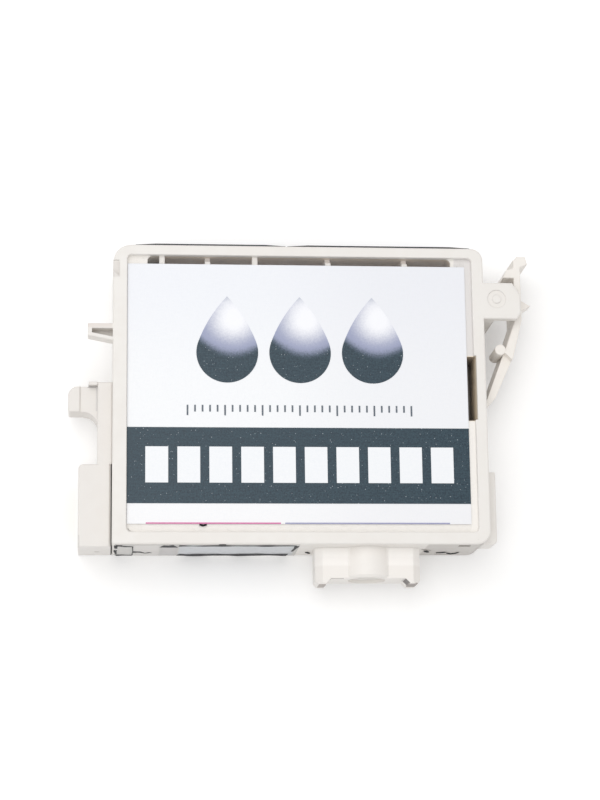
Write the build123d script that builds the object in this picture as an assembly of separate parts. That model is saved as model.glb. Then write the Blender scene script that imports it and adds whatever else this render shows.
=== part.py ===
"""Flat inkjet ink cartridge with a side latch lever and a sprung supply port.

Millimetres. +X runs to the right along the case, +Y up the case away from the supply port and
+Z out of the label face. The origin is the centre of the case's flat back face.
"""

from build123d import *
import os
from math import atan2, cos, hypot, sin

os.makedirs("parts", exist_ok=True)

# Case moulding: outside size, corner radii seen from the label side, raised rim
CASE_W = 62.0
CASE_H = 50.3
CASE_T = 12.8
CORNER_TOP_LEFT = 3.0
CORNER_TOP_RIGHT = 2.0
CORNER_BOTTOM_RIGHT = 2.3
CORNER_BOTTOM_LEFT = 0.4
RIM_LEFT = 2.35
RIM_RIGHT = 1.95
RIM_TOP = 1.7
RIM_BOTTOM = 2.0
RECESS_DEPTH = 1.0
RECESS_CORNER = 0.7
CORNER_FACET_LENGTH = 2.7
CORNER_FACET_WIDTH = 1.0
CORNER_FACET_DEPTH = 0.35
CORNER_FACET_FROM_TOP = 2.7
EDGE_R = 0.3
RECESS_EDGE_R = 0.15

# Tank room, open at the label side, closed by the front film and parted by ribs into chambers
PARTITION_T = 4.8
RIB_T = 0.9
TANK_WALL_LEFT = 5.7
TANK_WALL_RIGHT = 5.4
TANK_WALL_BOTTOM = 5.6
TANK_CORNER = 0.8
TOP_ROW_H = 11.4
TOP_RIB_SHARES = (0.0472, 0.1965, 0.3517, 0.5933, 0.8468)
TOP_RIBS_NOTCHED = (False, True, False, True, True)
LOWER_RIB_SHARE = 0.3006
RIB_NOTCH = 1.1
SIDE_SLOT_W = 1.5
SIDE_SLOT_INSET = 1.57
SIDE_SLOT_LOW = 29.46
SIDE_SLOT_HIGH = 18.54
SIDE_SLOT_DEPTH = 8.0

# Back of the case: shallow recess with the valve chamber, filter pocket and air channel
BACK_RIM = 2.2
BACK_RECESS = 0.35
BACK_FILM_T = 0.15
VALVE_LEFT_OF_MIDDLE = 3.7
VALVE_Y = 19.0
VALVE_CAP_R = 6.0
VALVE_CAP_T = 0.9
DIAPHRAGM_R = 5.0
DIAPHRAGM_T = 0.7
VALVE_WELL_R = 3.4
VALVE_WELL_DEPTH = 1.1
VALVE_SPRING_R = 1.6
VALVE_SPRING_WIRE = 0.3
FILTER_RIGHT_OF_PORT = 4.55
FILTER_Y = 17.6
FILTER_R = 3.2
FILTER_T = 0.3
FILTER_LEDGE = 0.5
FILTER_DEPTH = 1.2
VENT_X = 10.9
VENT_BELOW_TOP = 10.5
VENT_R = 2.4
VENT_T = 0.3
VENT_LEDGE = 0.4
VENT_DEPTH = 1.0
AIR_CHANNEL_W = 0.8
AIR_CHANNEL_DEPTH = 0.6
AIR_CHANNEL_PITCH = 1.7
AIR_CHANNEL_RUNS = 5
AIR_CHANNEL_START = 15.0
AIR_CHANNEL_FROM_RIGHT = 7.0
AIR_CHANNEL_BELOW_TOP = 11.7
INK_HOLE_R = 0.8

# Channels in the bottom side, closed by a clear film
CHANNEL_CELLS = ((0.9, 3.0), (3.7, 7.6), (8.4, 10.4))
LONG_CELL_START = 11.2
CHANNEL_DEPTH = 0.9
CHANNEL_FRONT_MARGIN = 1.3
CHANNEL_BACK_MARGIN = 1.2
CHANNEL_FILM_T = 0.12
CHANNEL_FILM_START = 0.5
CHANNEL_FILM_LAP = 1.0
CHANNEL_FILM_PORT_GAP = 2.75
CHANNEL_FILM_MARGIN = 0.5
BOTTOM_SLIT_FROM_RIGHT = 9.9
BOTTOM_SLIT_W = 0.5
BOTTOM_SLIT_L = 2.2
BOTTOM_LINE_FROM_RIGHT = 7.8
BOTTOM_LINE_L = 2.7
BOTTOM_PAD_FROM_RIGHT = 5.1
BOTTOM_PAD_W = 1.9
BOTTOM_PAD_H = 1.5
BOTTOM_MARK_DEPTH = 0.3

# Supply port block and its bore
PORT_FROM_RIGHT = 19.95
PORT_BLOCK_W = 17.4
PORT_BLOCK_DROP = 5.15
PORT_BLOCK_BACK = 2.6
PORT_BLOCK_BELOW_FRONT = 3.7
PORT_BLOCK_CHAMFER = 1.2
PORT_EDGE_R = 0.2
PORT_LEG_W = 2.6
PORT_LEG_DROP = 0.8
PORT_LEG_CORNER = 0.5
PORT_TUBE_R = 4.3
PORT_TUBE_SHORT = 0.1
PORT_TUBE_LIP = 0.35
PORT_BORE_R = 3.1
PORT_BORE_DEPTH = 11.6
PORT_BOSS_WALL = 1.0

# Supply seal, valve and spring in the port bore
FIT_CLEARANCE = 0.05
LOOSE_CLEARANCE = 0.3
SEAL_BORE_R = 1.5
SEAL_L = 3.0
SEAL_RECESS = 0.5
SEAL_MOUTH = 0.6
VALVE_TRAVEL = 2.0
VALVE_HEAD_T = 1.2
VALVE_STEM_R = 1.2
SUPPLY_SPRING_R = 1.9
SUPPLY_SPRING_WIRE = 0.35
SUPPLY_SPRING_TURNS = 5

# Wedge tab on the left side, its top measured down from the case's top side
WEDGE_REACH = 4.1
WEDGE_BELOW_TOP = 13.55
WEDGE_TIP_H = 2.07
WEDGE_ROOT_H = 2.9
WEDGE_DEPTH = 2.9
WEDGE_WALL_TOP = 0.85
WEDGE_WALL_END = 0.68
WEDGE_WALL_LOW = 0.62
WEDGE_POCKET_DEPTH = 2.3
WEDGE_EDGE_R = 0.2

# Latch guide on the right side: a front plate on a support block, measured down from the top
GUIDE_REACH = 6.26
GUIDE_LOW = 12.15
GUIDE_HIGH = 5.9
GUIDE_PLATE_T = 1.75
GUIDE_CHAMFER_X = 1.37
GUIDE_CHAMFER_TOP = 2.1
GUIDE_CHAMFER_LOW = 1.1
GUIDE_ROOT_REACH = 1.9
GUIDE_MARK_FROM_WALL = 2.2
GUIDE_MARK_BELOW_TOP = 8.75
GUIDE_MARK_R = 1.55
GUIDE_MARK_DEPTH = 0.18
GUIDE_MARK_PIP_R = 0.72

# Thickened pad low on the right side
SIDE_PAD_H = 12.7
SIDE_PAD_T = 1.7
SIDE_PAD_BELOW_FRONT = 3.8
SIDE_PAD_BACK = 4.0
SIDE_PAD_RISE = 0.5
SIDE_PAD_CORNER = 0.8

# Latch lever: outline from the case wall, running up beside the guide, measured down from the top
LEVER_BACK = 2.3
LEVER_PLATE_GAP = 0.75
LEVER_T = 1.15
LEVER_ROOT_DOWN = 26.2
LEVER_ROOT_R = 0.85
LEVER_KNEE_REACH = 6.25
LEVER_KNEE_DOWN = 11.7
LEVER_MID_T = 1.7
LEVER_MID_REACH = 4.4
LEVER_MID_DOWN = 17.9
LEVER_TOP_DOWN = 0.6
LEVER_HINGE_GAP = 0.1
LEVER_CATCH_REACH = 2.4
LEVER_CATCH_LOW = 4.4
LEVER_CATCH_HIGH = 3.0
LEVER_HEAD_OVERHANG = 1.25
LEVER_HEAD_H = 1.35
LEVER_TOOTH_REACH = 2.15
LEVER_TOOTH_LOW = 10.1
LEVER_TOOTH_HIGH = 6.75
LEVER_TOOTH_BACK = 2.0
LEVER_TOOTH_STEP = 3.3
LEVER_PEG_R = 0.9
LEVER_PEG_DOWN = 16.9
LEVER_PEG_REACH = 3.0
LEVER_PEG_L = 6.0
LEVER_STEP_DEPTH = 1.2
LEVER_STEP_REACH = 3.6
LEVER_STEP_DOWN = 17.3
LEVER_EDGE_R = 0.2

# Chip carrier on the left side: column, hook and lower block
CARRIER_BELOW_FRONT = 3.4
COLUMN_W = 2.45
COLUMN_TOP = 27.56
CARRIER_BLOCK_W = 5.5
CARRIER_BLOCK_H = 13.74
CARRIER_BLOCK_CORNER = 0.8
CARRIER_EDGE_R = 0.25
CARRIER_RELIEF = 0.12
CARRIER_RELIEF_BACK = 1.0
CARRIER_BEVEL = 0.35
HOOK_REACH = 7.3
HOOK_LOW = 22.75
HOOK_HIGH = 27.05
HOOK_BACK = 3.3
HOOK_BELOW_CARRIER = 1.1
HOOK_NOSE_W = 2.0
HOOK_NOSE_CORNER = 1.6
HOOK_DISH = 0.35
HOOK_FILLET = 2.4
HOOK_LIP_W = 1.5
HOOK_LIP_H = 0.55
CHIP_LOW = 2.2
CHIP_HIGH = 11.8
CHIP_BACK = 1.1
CHIP_BELOW_CARRIER = 1.0
CHIP_RECESS = 0.9
CHIP_BOARD_T = 0.6
CHIP_BOARD_CLEARANCE = 0.15
CHIP_PAD_T = 0.08
CHIP_PAD_GAP = 0.5
CHIP_PAD_MARGIN = 0.85
CHIP_PAD_ROWS = (4, 5)
CHIP_DIE_L = 3.2
CHIP_DIE_W = 2.6
CHIP_DIE_T = 0.8
CARRIER_HOLE_R = 0.45
CARRIER_HOLE_Z = 4.0
CARRIER_HOLE_DEPTH = 2.5

# Front film, label and the fields printed on the label
FRONT_FILM_T = 0.12
FRONT_FILM_MARGIN = 0.15
LABEL_T = 0.14
LABEL_RIGHT_GAP = 1.12
LABEL_TOP_GAP = 1.4
LABEL_BOTTOM_GAP = 1.4
LABEL_SIDE_CLEARANCE = 0.05
PRINT_T = 0.04
BAND_SHARES = (0.077, 0.366)
DROP_COUNT = 3
DROP_PITCH = 12.1
DROP_CENTRE_SHARE = 0.6553
DROP_R = 5.12
DROP_TIP_RISE = 9.6
DROP_SHOULDER = 20.0
LEVEL_BAR_COUNT = 10
LEVEL_BAR_MARGIN_LEFT = 3.0
LEVEL_BAR_MARGIN_RIGHT = 2.73
LEVEL_BAR_GAP = 1.5
LEVEL_BAR_SHARES = (0.1553, 0.2922)
TICK_COUNT = 31
TICK_GROUP = 5
TICK_MARGIN_LEFT = 9.9
TICK_MARGIN_RIGHT = 9.53
TICK_W = 0.28
TICK_SHARES = (0.4121, 0.4521)
TICK_SHORT = 0.62
EDGE_LINE_MARGIN_LEFT = 3.1
EDGE_LINE_MARGIN_RIGHT = 3.58
EDGE_LINE_SPLIT_SHARE = 0.4502
EDGE_LINE_GAP = 0.7
EDGE_LINE_W = 0.22

# Two dark film strips on the top side
TOP_FILM_T = 0.3
TOP_FILM_END_T = 0.1
TOP_FILM_TAPER = 3.5
TOP_FILM_LEFT_START = 3.7
TOP_FILM_SPLIT = 28.9
TOP_FILM_SPLIT_GAP = 0.3
TOP_FILM_RIGHT_MARGIN = 2.1
TOP_FILM_FRONT_MARGIN = 0.4
TOP_FILM_BACK_MARGIN = 0.9

# Filling hole in the top side, under the right-hand film strip
FILL_FROM_RIGHT = 19.6
FILL_R = 1.6
FILL_PLUG_L = 1.4
FILL_BORE_R = 0.9

# Rear label, flush in the back recess over the back film, ending short of the air channel
REAR_CLEARANCE = 0.15
REAR_LABEL_BELOW_TOP = 13.6

# Working values
LEFT = -CASE_W / 2
RIGHT = CASE_W / 2
BOTTOM = -CASE_H / 2
TOP = CASE_H / 2
RECESS_Z = CASE_T - RECESS_DEPTH
FILM_TOP = RECESS_Z + FRONT_FILM_T
LABEL_TOP_Z = FILM_TOP + LABEL_T
TANK_TOP = CASE_H - RIM_TOP
TANK_END = CASE_W - TANK_WALL_RIGHT
TOP_ROW_LOW = TANK_TOP - TOP_ROW_H
DIVIDER_LOW = TOP_ROW_LOW - RIB_T
PORT_X = CASE_W - PORT_FROM_RIGHT
PORT_Z = CASE_T / 2
PORT_BLOCK_START = PORT_X - PORT_BLOCK_W / 2
PORT_BLOCK_FRONT = CASE_T - PORT_BLOCK_BELOW_FRONT
CHANNEL_FILM_END = PORT_BLOCK_START - CHANNEL_FILM_PORT_GAP
PORT_MOUTH_Y = BOTTOM - PORT_BLOCK_DROP
PORT_WELL_Y = PORT_MOUTH_Y + PORT_BORE_DEPTH
PORT_ROOM_TOP = PORT_WELL_Y - BOTTOM + PORT_BOSS_WALL
SEAL_R = PORT_BORE_R - FIT_CLEARANCE
SEAL_Y = PORT_MOUTH_Y + SEAL_RECESS
VALVE_Y_SEAT = SEAL_Y + SEAL_L
VALVE_HEAD_R = PORT_BORE_R - LOOSE_CLEARANCE
LEVER_ROOT_X = RIGHT + LEVER_HINGE_GAP + LEVER_ROOT_R
LEVER_FRONT = CASE_T - GUIDE_PLATE_T - LEVER_PLATE_GAP
CARRIER_FRONT = CASE_T - CARRIER_BELOW_FRONT
HOOK_FRONT = CARRIER_FRONT - HOOK_BELOW_CARRIER
CHIP_FRONT = CARRIER_FRONT - CHIP_BELOW_CARRIER
VALVE_X = CASE_W / 2 - VALVE_LEFT_OF_MIDDLE
FILTER_X = PORT_X + FILTER_RIGHT_OF_PORT
VENT_Y = CASE_H - VENT_BELOW_TOP
AIR_CHANNEL_END = CASE_W - AIR_CHANNEL_FROM_RIGHT
FILL_X = CASE_W - FILL_FROM_RIGHT
LABEL_LEFT = RIM_LEFT + LABEL_SIDE_CLEARANCE
LABEL_RIGHT = CASE_W - RIM_RIGHT - LABEL_RIGHT_GAP
LABEL_LOW = RIM_BOTTOM + LABEL_BOTTOM_GAP
LABEL_HIGH = CASE_H - RIM_TOP - LABEL_TOP_GAP
BACK_FILM_Z = BACK_RECESS - BACK_FILM_T


def at_x(from_left):
    """X of a place measured from the case's left wall."""
    return LEFT + from_left


def at_y(from_bottom):
    """Y of a place measured from the case's bottom wall."""
    return BOTTOM + from_bottom


def label_share(share):
    """Height above the case's bottom side of a place given as a share of the label's height."""
    return LABEL_LOW + share * (LABEL_HIGH - LABEL_LOW)


def block(x0, x1, y0, y1, z0, z1):
    """A box between two corners."""
    return Pos((x0 + x1) / 2, (y0 + y1) / 2, (z0 + z1) / 2) * Box(x1 - x0, y1 - y0, z1 - z0)


def prism(points, z0, z1):
    """A flat outline in the plane of the label, raised from z0 to z1."""
    outline = make_face(Polyline(*points, close=True))
    return extrude(Pos(0, 0, z0) * outline, amount=z1 - z0)


def disc(x, y, radius, z0, z1):
    """A round disc or hole along Z."""
    return Pos(x, y, (z0 + z1) / 2) * Cylinder(radius, z1 - z0)


def rod_y(x, z, radius, y0, y1):
    """A round rod or hole along Y."""
    return Pos(x, (y0 + y1) / 2, z) * Rot(90, 0, 0) * Cylinder(radius, y1 - y0)


def upright_edge(solid, x, y):
    """The edge along Z that stands nearest to a place in the plan."""
    edges = solid.edges().filter_by(Axis.Z)
    return min(edges, key=lambda e: hypot(e.center().X - x, e.center().Y - y))


def round_corner(solid, x, y, radius):
    """The solid with the upright corner nearest to a place rounded."""
    return fillet(upright_edge(solid, x, y), radius)


def soften(solid, radius, front=True, back=True):
    """The solid with every edge of its front and back faces rounded."""
    levels = solid.edges().group_by(Axis.Z)
    if front:
        solid = fillet(levels[-1], radius)
    if back:
        solid = fillet(solid.edges().group_by(Axis.Z)[0], radius)
    return solid


def coil_spring(x, y, z, turn, radius, wire, height, turns):
    """A coil spring on a local frame: its axis is the local Z after the turn is applied."""
    path = Helix(pitch=(height - wire) / turns, height=height - wire, radius=radius)
    start = Plane(origin=path @ 0, z_dir=path % 0)
    spring = sweep(start * Circle(wire / 2), path=path)
    return Pos(x, y, z) * turn * Pos(0, 0, wire / 2) * spring


def tank_room():
    """The hollow for the ink: one room with rounded corners, less the boss over the port bore."""
    room = block(at_x(TANK_WALL_LEFT), at_x(TANK_END), at_y(TANK_WALL_BOTTOM), at_y(TANK_TOP),
                 PARTITION_T, CASE_T)
    room = fillet(room.edges().filter_by(Axis.Z), TANK_CORNER)
    return room - block(at_x(PORT_BLOCK_START + RIB_T / 2), at_x(TANK_END), BOTTOM,
                        at_y(PORT_ROOM_TOP), PARTITION_T, CASE_T)


def rib(x, low, high):
    """One upright rib of the tank, centred on a place measured from the left wall."""
    return block(at_x(x - RIB_T / 2), at_x(x + RIB_T / 2), at_y(low), at_y(high),
                 PARTITION_T, RECESS_Z)


def chamber_ribs():
    """The ribs that part the tank room into five upper and three lower chambers."""
    width = TANK_END - TANK_WALL_LEFT
    ribs = [block(at_x(TANK_WALL_LEFT), at_x(TANK_END), at_y(DIVIDER_LOW), at_y(TOP_ROW_LOW),
                  PARTITION_T, RECESS_Z)]
    for share, notched in zip(TOP_RIB_SHARES, TOP_RIBS_NOTCHED):
        x = TANK_WALL_LEFT + share * width
        wall = rib(x, TOP_ROW_LOW, TANK_TOP)
        if notched:
            wall -= block(at_x(x - RIB_T), at_x(x + RIB_T), at_y(TANK_TOP - RIB_T), TOP,
                          RECESS_Z - RIB_NOTCH, RECESS_Z)
        ribs.append(wall)
    for x in (TANK_WALL_LEFT + LOWER_RIB_SHARE * width, PORT_BLOCK_START):
        passage = block(at_x(x - RIB_T), at_x(x + RIB_T), at_y(TANK_WALL_BOTTOM),
                        at_y(TANK_WALL_BOTTOM + RIB_NOTCH), PARTITION_T, PARTITION_T + RIB_NOTCH)
        ribs.append(rib(x, TANK_WALL_BOTTOM, DIVIDER_LOW) - passage)
    return Compound(ribs)


def shell():
    """The closed outer block of the case with its rounded corners and edges and front recess."""
    body = block(LEFT, RIGHT, BOTTOM, TOP, 0, CASE_T)
    body = round_corner(body, LEFT, TOP, CORNER_TOP_LEFT)
    body = round_corner(body, RIGHT, TOP, CORNER_TOP_RIGHT)
    body = round_corner(body, RIGHT, BOTTOM, CORNER_BOTTOM_RIGHT)
    body = round_corner(body, LEFT, BOTTOM, CORNER_BOTTOM_LEFT)
    body = soften(body, EDGE_R)
    recess = block(LEFT + RIM_LEFT, RIGHT - RIM_RIGHT, BOTTOM + RIM_BOTTOM, TOP - RIM_TOP,
                   RECESS_Z, CASE_T)
    recess = fillet(recess.edges().filter_by(Axis.Z), RECESS_CORNER)
    facet_top = TOP - CORNER_FACET_FROM_TOP
    facet = prism([(LEFT, facet_top), (LEFT + CORNER_FACET_WIDTH, facet_top),
                   (LEFT + CORNER_FACET_WIDTH, facet_top - CORNER_FACET_LENGTH),
                   (LEFT, facet_top - CORNER_FACET_LENGTH + CORNER_FACET_WIDTH)],
                  CASE_T - CORNER_FACET_DEPTH, CASE_T)
    body -= recess
    rim_edges = [e for e in body.edges().group_by(Axis.Z)[-1]
                 if abs(e.center().X) < RIGHT - EDGE_R and abs(e.center().Y) < TOP - EDGE_R
                 and e.bounding_box().max.X < RIGHT - RIM_RIGHT + RECESS_CORNER]
    return fillet(rim_edges, RECESS_EDGE_R) - facet


def side_slot():
    """The deep narrow slot between the right-hand tank wall and the case wall."""
    high_x = RIGHT - SIDE_SLOT_INSET
    return block(high_x - SIDE_SLOT_W, high_x, TOP - SIDE_SLOT_LOW, TOP - SIDE_SLOT_HIGH,
                 CASE_T - SIDE_SLOT_DEPTH, CASE_T)


def back_pockets():
    """The recess of the back film with the valve, filter and vent pockets and the air channel."""
    cuts = [block(LEFT + BACK_RIM, RIGHT - BACK_RIM, BOTTOM + BACK_RIM, TOP - BACK_RIM,
                  0, BACK_RECESS)]
    x, y = at_x(VALVE_X), at_y(VALVE_Y)
    cap_in = BACK_RECESS + VALVE_CAP_T
    disc_in = cap_in + DIAPHRAGM_T
    cuts.append(disc(x, y, VALVE_CAP_R + FIT_CLEARANCE, BACK_RECESS, cap_in))
    cuts.append(disc(x, y, DIAPHRAGM_R + FIT_CLEARANCE, cap_in, disc_in))
    cuts.append(disc(x, y, VALVE_WELL_R, disc_in, disc_in + VALVE_WELL_DEPTH))
    cuts.append(disc(x, y + VALVE_WELL_R / 2, INK_HOLE_R, disc_in, PARTITION_T))
    x, y = at_x(FILTER_X), at_y(FILTER_Y)
    cuts.append(disc(x, y, FILTER_R + FIT_CLEARANCE, BACK_RECESS, BACK_RECESS + FILTER_LEDGE))
    cuts.append(disc(x, y, FILTER_R - FILTER_LEDGE, BACK_RECESS, BACK_RECESS + FILTER_DEPTH))
    cuts.append(disc(x, y, INK_HOLE_R, BACK_RECESS + FILTER_DEPTH, PARTITION_T))
    x, y = at_x(VENT_X), at_y(VENT_Y)
    cuts.append(disc(x, y, VENT_R + FIT_CLEARANCE, BACK_RECESS, BACK_RECESS + VENT_LEDGE))
    cuts.append(disc(x, y, VENT_R - VENT_LEDGE, BACK_RECESS, BACK_RECESS + VENT_DEPTH))
    cuts.append(disc(x, y, INK_HOLE_R, BACK_RECESS + VENT_DEPTH, PARTITION_T))
    return cuts + air_channel()


def air_channel():
    """The winding air channel behind the back film, from the vent pocket to the top side."""
    deep = BACK_RECESS + AIR_CHANNEL_DEPTH
    first_y = TOP - AIR_CHANNEL_BELOW_TOP
    cuts = []
    for run in range(AIR_CHANNEL_RUNS):
        y = first_y + run * AIR_CHANNEL_PITCH
        cuts.append(block(at_x(AIR_CHANNEL_START), at_x(AIR_CHANNEL_END),
                          y, y + AIR_CHANNEL_W, BACK_RECESS, deep))
    for run in range(AIR_CHANNEL_RUNS - 1):
        y = first_y + run * AIR_CHANNEL_PITCH
        x = at_x(AIR_CHANNEL_START) if run % 2 else at_x(AIR_CHANNEL_END) - AIR_CHANNEL_W
        cuts.append(block(x, x + AIR_CHANNEL_W, y, y + AIR_CHANNEL_PITCH + AIR_CHANNEL_W,
                          BACK_RECESS, deep))
    last_y = first_y + (AIR_CHANNEL_RUNS - 1) * AIR_CHANNEL_PITCH
    cuts.append(block(at_x(VENT_X), at_x(AIR_CHANNEL_START), first_y, first_y + AIR_CHANNEL_W,
                      BACK_RECESS, deep))
    cuts.append(block(at_x(AIR_CHANNEL_END) - AIR_CHANNEL_W, at_x(AIR_CHANNEL_END),
                      last_y, TOP, BACK_RECESS, deep))
    return cuts


def bottom_channels():
    """The film-covered cells and the small marks in the bottom side."""
    cells = [*CHANNEL_CELLS, (LONG_CELL_START, CHANNEL_FILM_END - CHANNEL_FILM_LAP)]
    cuts = [block(at_x(a), at_x(b), BOTTOM, BOTTOM + CHANNEL_DEPTH,
                  CHANNEL_BACK_MARGIN, CASE_T - CHANNEL_FRONT_MARGIN) for a, b in cells]
    slit = Rot(0, 35, 0) * Box(BOTTOM_SLIT_L, 2 * BOTTOM_MARK_DEPTH, BOTTOM_SLIT_W)
    cuts.append(Pos(RIGHT - BOTTOM_SLIT_FROM_RIGHT, BOTTOM, PORT_Z) * slit)
    line_x, pad_x = RIGHT - BOTTOM_LINE_FROM_RIGHT, RIGHT - BOTTOM_PAD_FROM_RIGHT
    cuts.append(block(line_x, line_x + BOTTOM_LINE_L, BOTTOM, BOTTOM + BOTTOM_MARK_DEPTH,
                      CHANNEL_BACK_MARGIN, CHANNEL_BACK_MARGIN + BOTTOM_SLIT_W))
    cuts.append(block(pad_x, pad_x + BOTTOM_PAD_W, BOTTOM,
                      BOTTOM + BOTTOM_MARK_DEPTH, CASE_T - CHANNEL_FRONT_MARGIN - BOTTOM_PAD_H,
                      CASE_T - CHANNEL_FRONT_MARGIN))
    return cuts


def port_block():
    """The supply port block: a chamfered block, two feet and the bulge of its bore tube."""
    x0 = at_x(PORT_BLOCK_START)
    x1 = x0 + PORT_BLOCK_W
    body = block(x0, x1, PORT_MOUTH_Y, BOTTOM + RIM_BOTTOM / 2, PORT_BLOCK_BACK, PORT_BLOCK_FRONT)
    foot_y = PORT_MOUTH_Y - PORT_LEG_DROP
    for side, edge in ((1, x0), (-1, x1)):
        foot = make_face(Polyline((edge, PORT_MOUTH_Y), (edge, foot_y + PORT_LEG_CORNER),
                                  (edge + side * PORT_LEG_CORNER, foot_y),
                                  (edge + side * (PORT_LEG_W - PORT_LEG_DROP), foot_y),
                                  (edge + side * PORT_LEG_W, PORT_MOUTH_Y), close=True))
        body += extrude(Pos(0, 0, PORT_BLOCK_BACK) * foot,
                        amount=PORT_BLOCK_FRONT - PORT_BLOCK_BACK)
    corners = [e for e in body.edges().filter_by(Axis.Y)
               if min(abs(e.center().X - x0), abs(e.center().X - x1)) < PORT_BLOCK_CHAMFER / 2]
    body = chamfer(corners, PORT_BLOCK_CHAMFER)
    body = soften(body, PORT_EDGE_R)
    tube = rod_y(at_x(PORT_X), PORT_Z, PORT_TUBE_R, PORT_MOUTH_Y + PORT_TUBE_SHORT, BOTTOM)
    tube = chamfer(tube.faces().sort_by(Axis.Y)[0].edges(), PORT_TUBE_LIP)
    return body + tube


def port_bore():
    """The bore for the seal, valve and spring, and the ink hole at its inner end."""
    bore = rod_y(at_x(PORT_X), PORT_Z, PORT_BORE_R, PORT_MOUTH_Y, PORT_WELL_Y)
    return bore + rod_y(at_x(PORT_X), PORT_Z, INK_HOLE_R, PORT_WELL_Y,
                        at_y(PORT_ROOM_TOP) + RIB_T)


def wedge_tab():
    """The pocketed wedge on the left side, flush with the rim."""
    top, low = TOP - WEDGE_BELOW_TOP, CASE_T - WEDGE_DEPTH
    tip_x, root_x = LEFT - WEDGE_REACH, LEFT + RIM_LEFT / 2
    body = prism([(root_x, top), (tip_x, top), (tip_x, top - WEDGE_TIP_H),
                  (LEFT, top - WEDGE_ROOT_H), (root_x, top - WEDGE_ROOT_H)], low, CASE_T)
    body = soften(body, WEDGE_EDGE_R)
    slope = (WEDGE_ROOT_H - WEDGE_TIP_H) / WEDGE_REACH
    in_x = tip_x + WEDGE_WALL_END
    in_low = top - WEDGE_TIP_H - slope * WEDGE_WALL_END + WEDGE_WALL_LOW
    pocket = prism([(LEFT, top - WEDGE_WALL_TOP), (in_x, top - WEDGE_WALL_TOP), (in_x, in_low),
                    (LEFT, top - WEDGE_ROOT_H + WEDGE_WALL_LOW)],
                   CASE_T - WEDGE_POCKET_DEPTH, CASE_T)
    return body - pocket


def latch_guide():
    """The plate that the latch lever runs behind, on its support block."""
    low, high = TOP - GUIDE_LOW, TOP - GUIDE_HIGH
    start, end = RIGHT - RIM_RIGHT / 2, RIGHT + GUIDE_REACH
    plate = prism([(start, low), (end - GUIDE_CHAMFER_X / 2, low),
                   (end, low + GUIDE_CHAMFER_LOW), (end, high - GUIDE_CHAMFER_TOP),
                   (end - GUIDE_CHAMFER_X, high), (start, high)],
                  CASE_T - GUIDE_PLATE_T, CASE_T)
    plate = soften(plate, EDGE_R)
    root = block(start, RIGHT + GUIDE_ROOT_REACH, low, high, 0, CASE_T - GUIDE_PLATE_T / 2)
    root = soften(root, EDGE_R, front=False)
    mark_x, mark_y = RIGHT + GUIDE_MARK_FROM_WALL, TOP - GUIDE_MARK_BELOW_TOP
    sunk = CASE_T - GUIDE_MARK_DEPTH
    mark = disc(mark_x, mark_y, GUIDE_MARK_R, sunk, CASE_T)
    mark -= disc(mark_x, mark_y, GUIDE_MARK_PIP_R, sunk, CASE_T)
    return plate + root - mark


def fill_hole():
    """The filling hole in the top side, with the seat of its plug."""
    x, z = at_x(FILL_X), CASE_T / 2
    hole = rod_y(x, z, FILL_BORE_R, at_y(TANK_TOP) - RIB_T, TOP)
    return hole + rod_y(x, z, FILL_R + FIT_CLEARANCE, TOP - FILL_PLUG_L, TOP)


def case_body():
    """The whole tank moulding."""
    body = shell() + port_block() + wedge_tab() + latch_guide()
    pad = block(RIGHT - RIM_RIGHT / 2, RIGHT + SIDE_PAD_T, BOTTOM + SIDE_PAD_RISE,
                at_y(SIDE_PAD_H), SIDE_PAD_BACK, CASE_T - SIDE_PAD_BELOW_FRONT)
    pad = round_corner(pad, RIGHT + SIDE_PAD_T, BOTTOM + SIDE_PAD_RISE, SIDE_PAD_CORNER)
    body += soften(pad, EDGE_R)
    cuts = back_pockets() + bottom_channels()
    cuts += [tank_room(), side_slot(), port_bore(), fill_hole()]
    for cut in cuts:
        body -= cut
    return body


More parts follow.
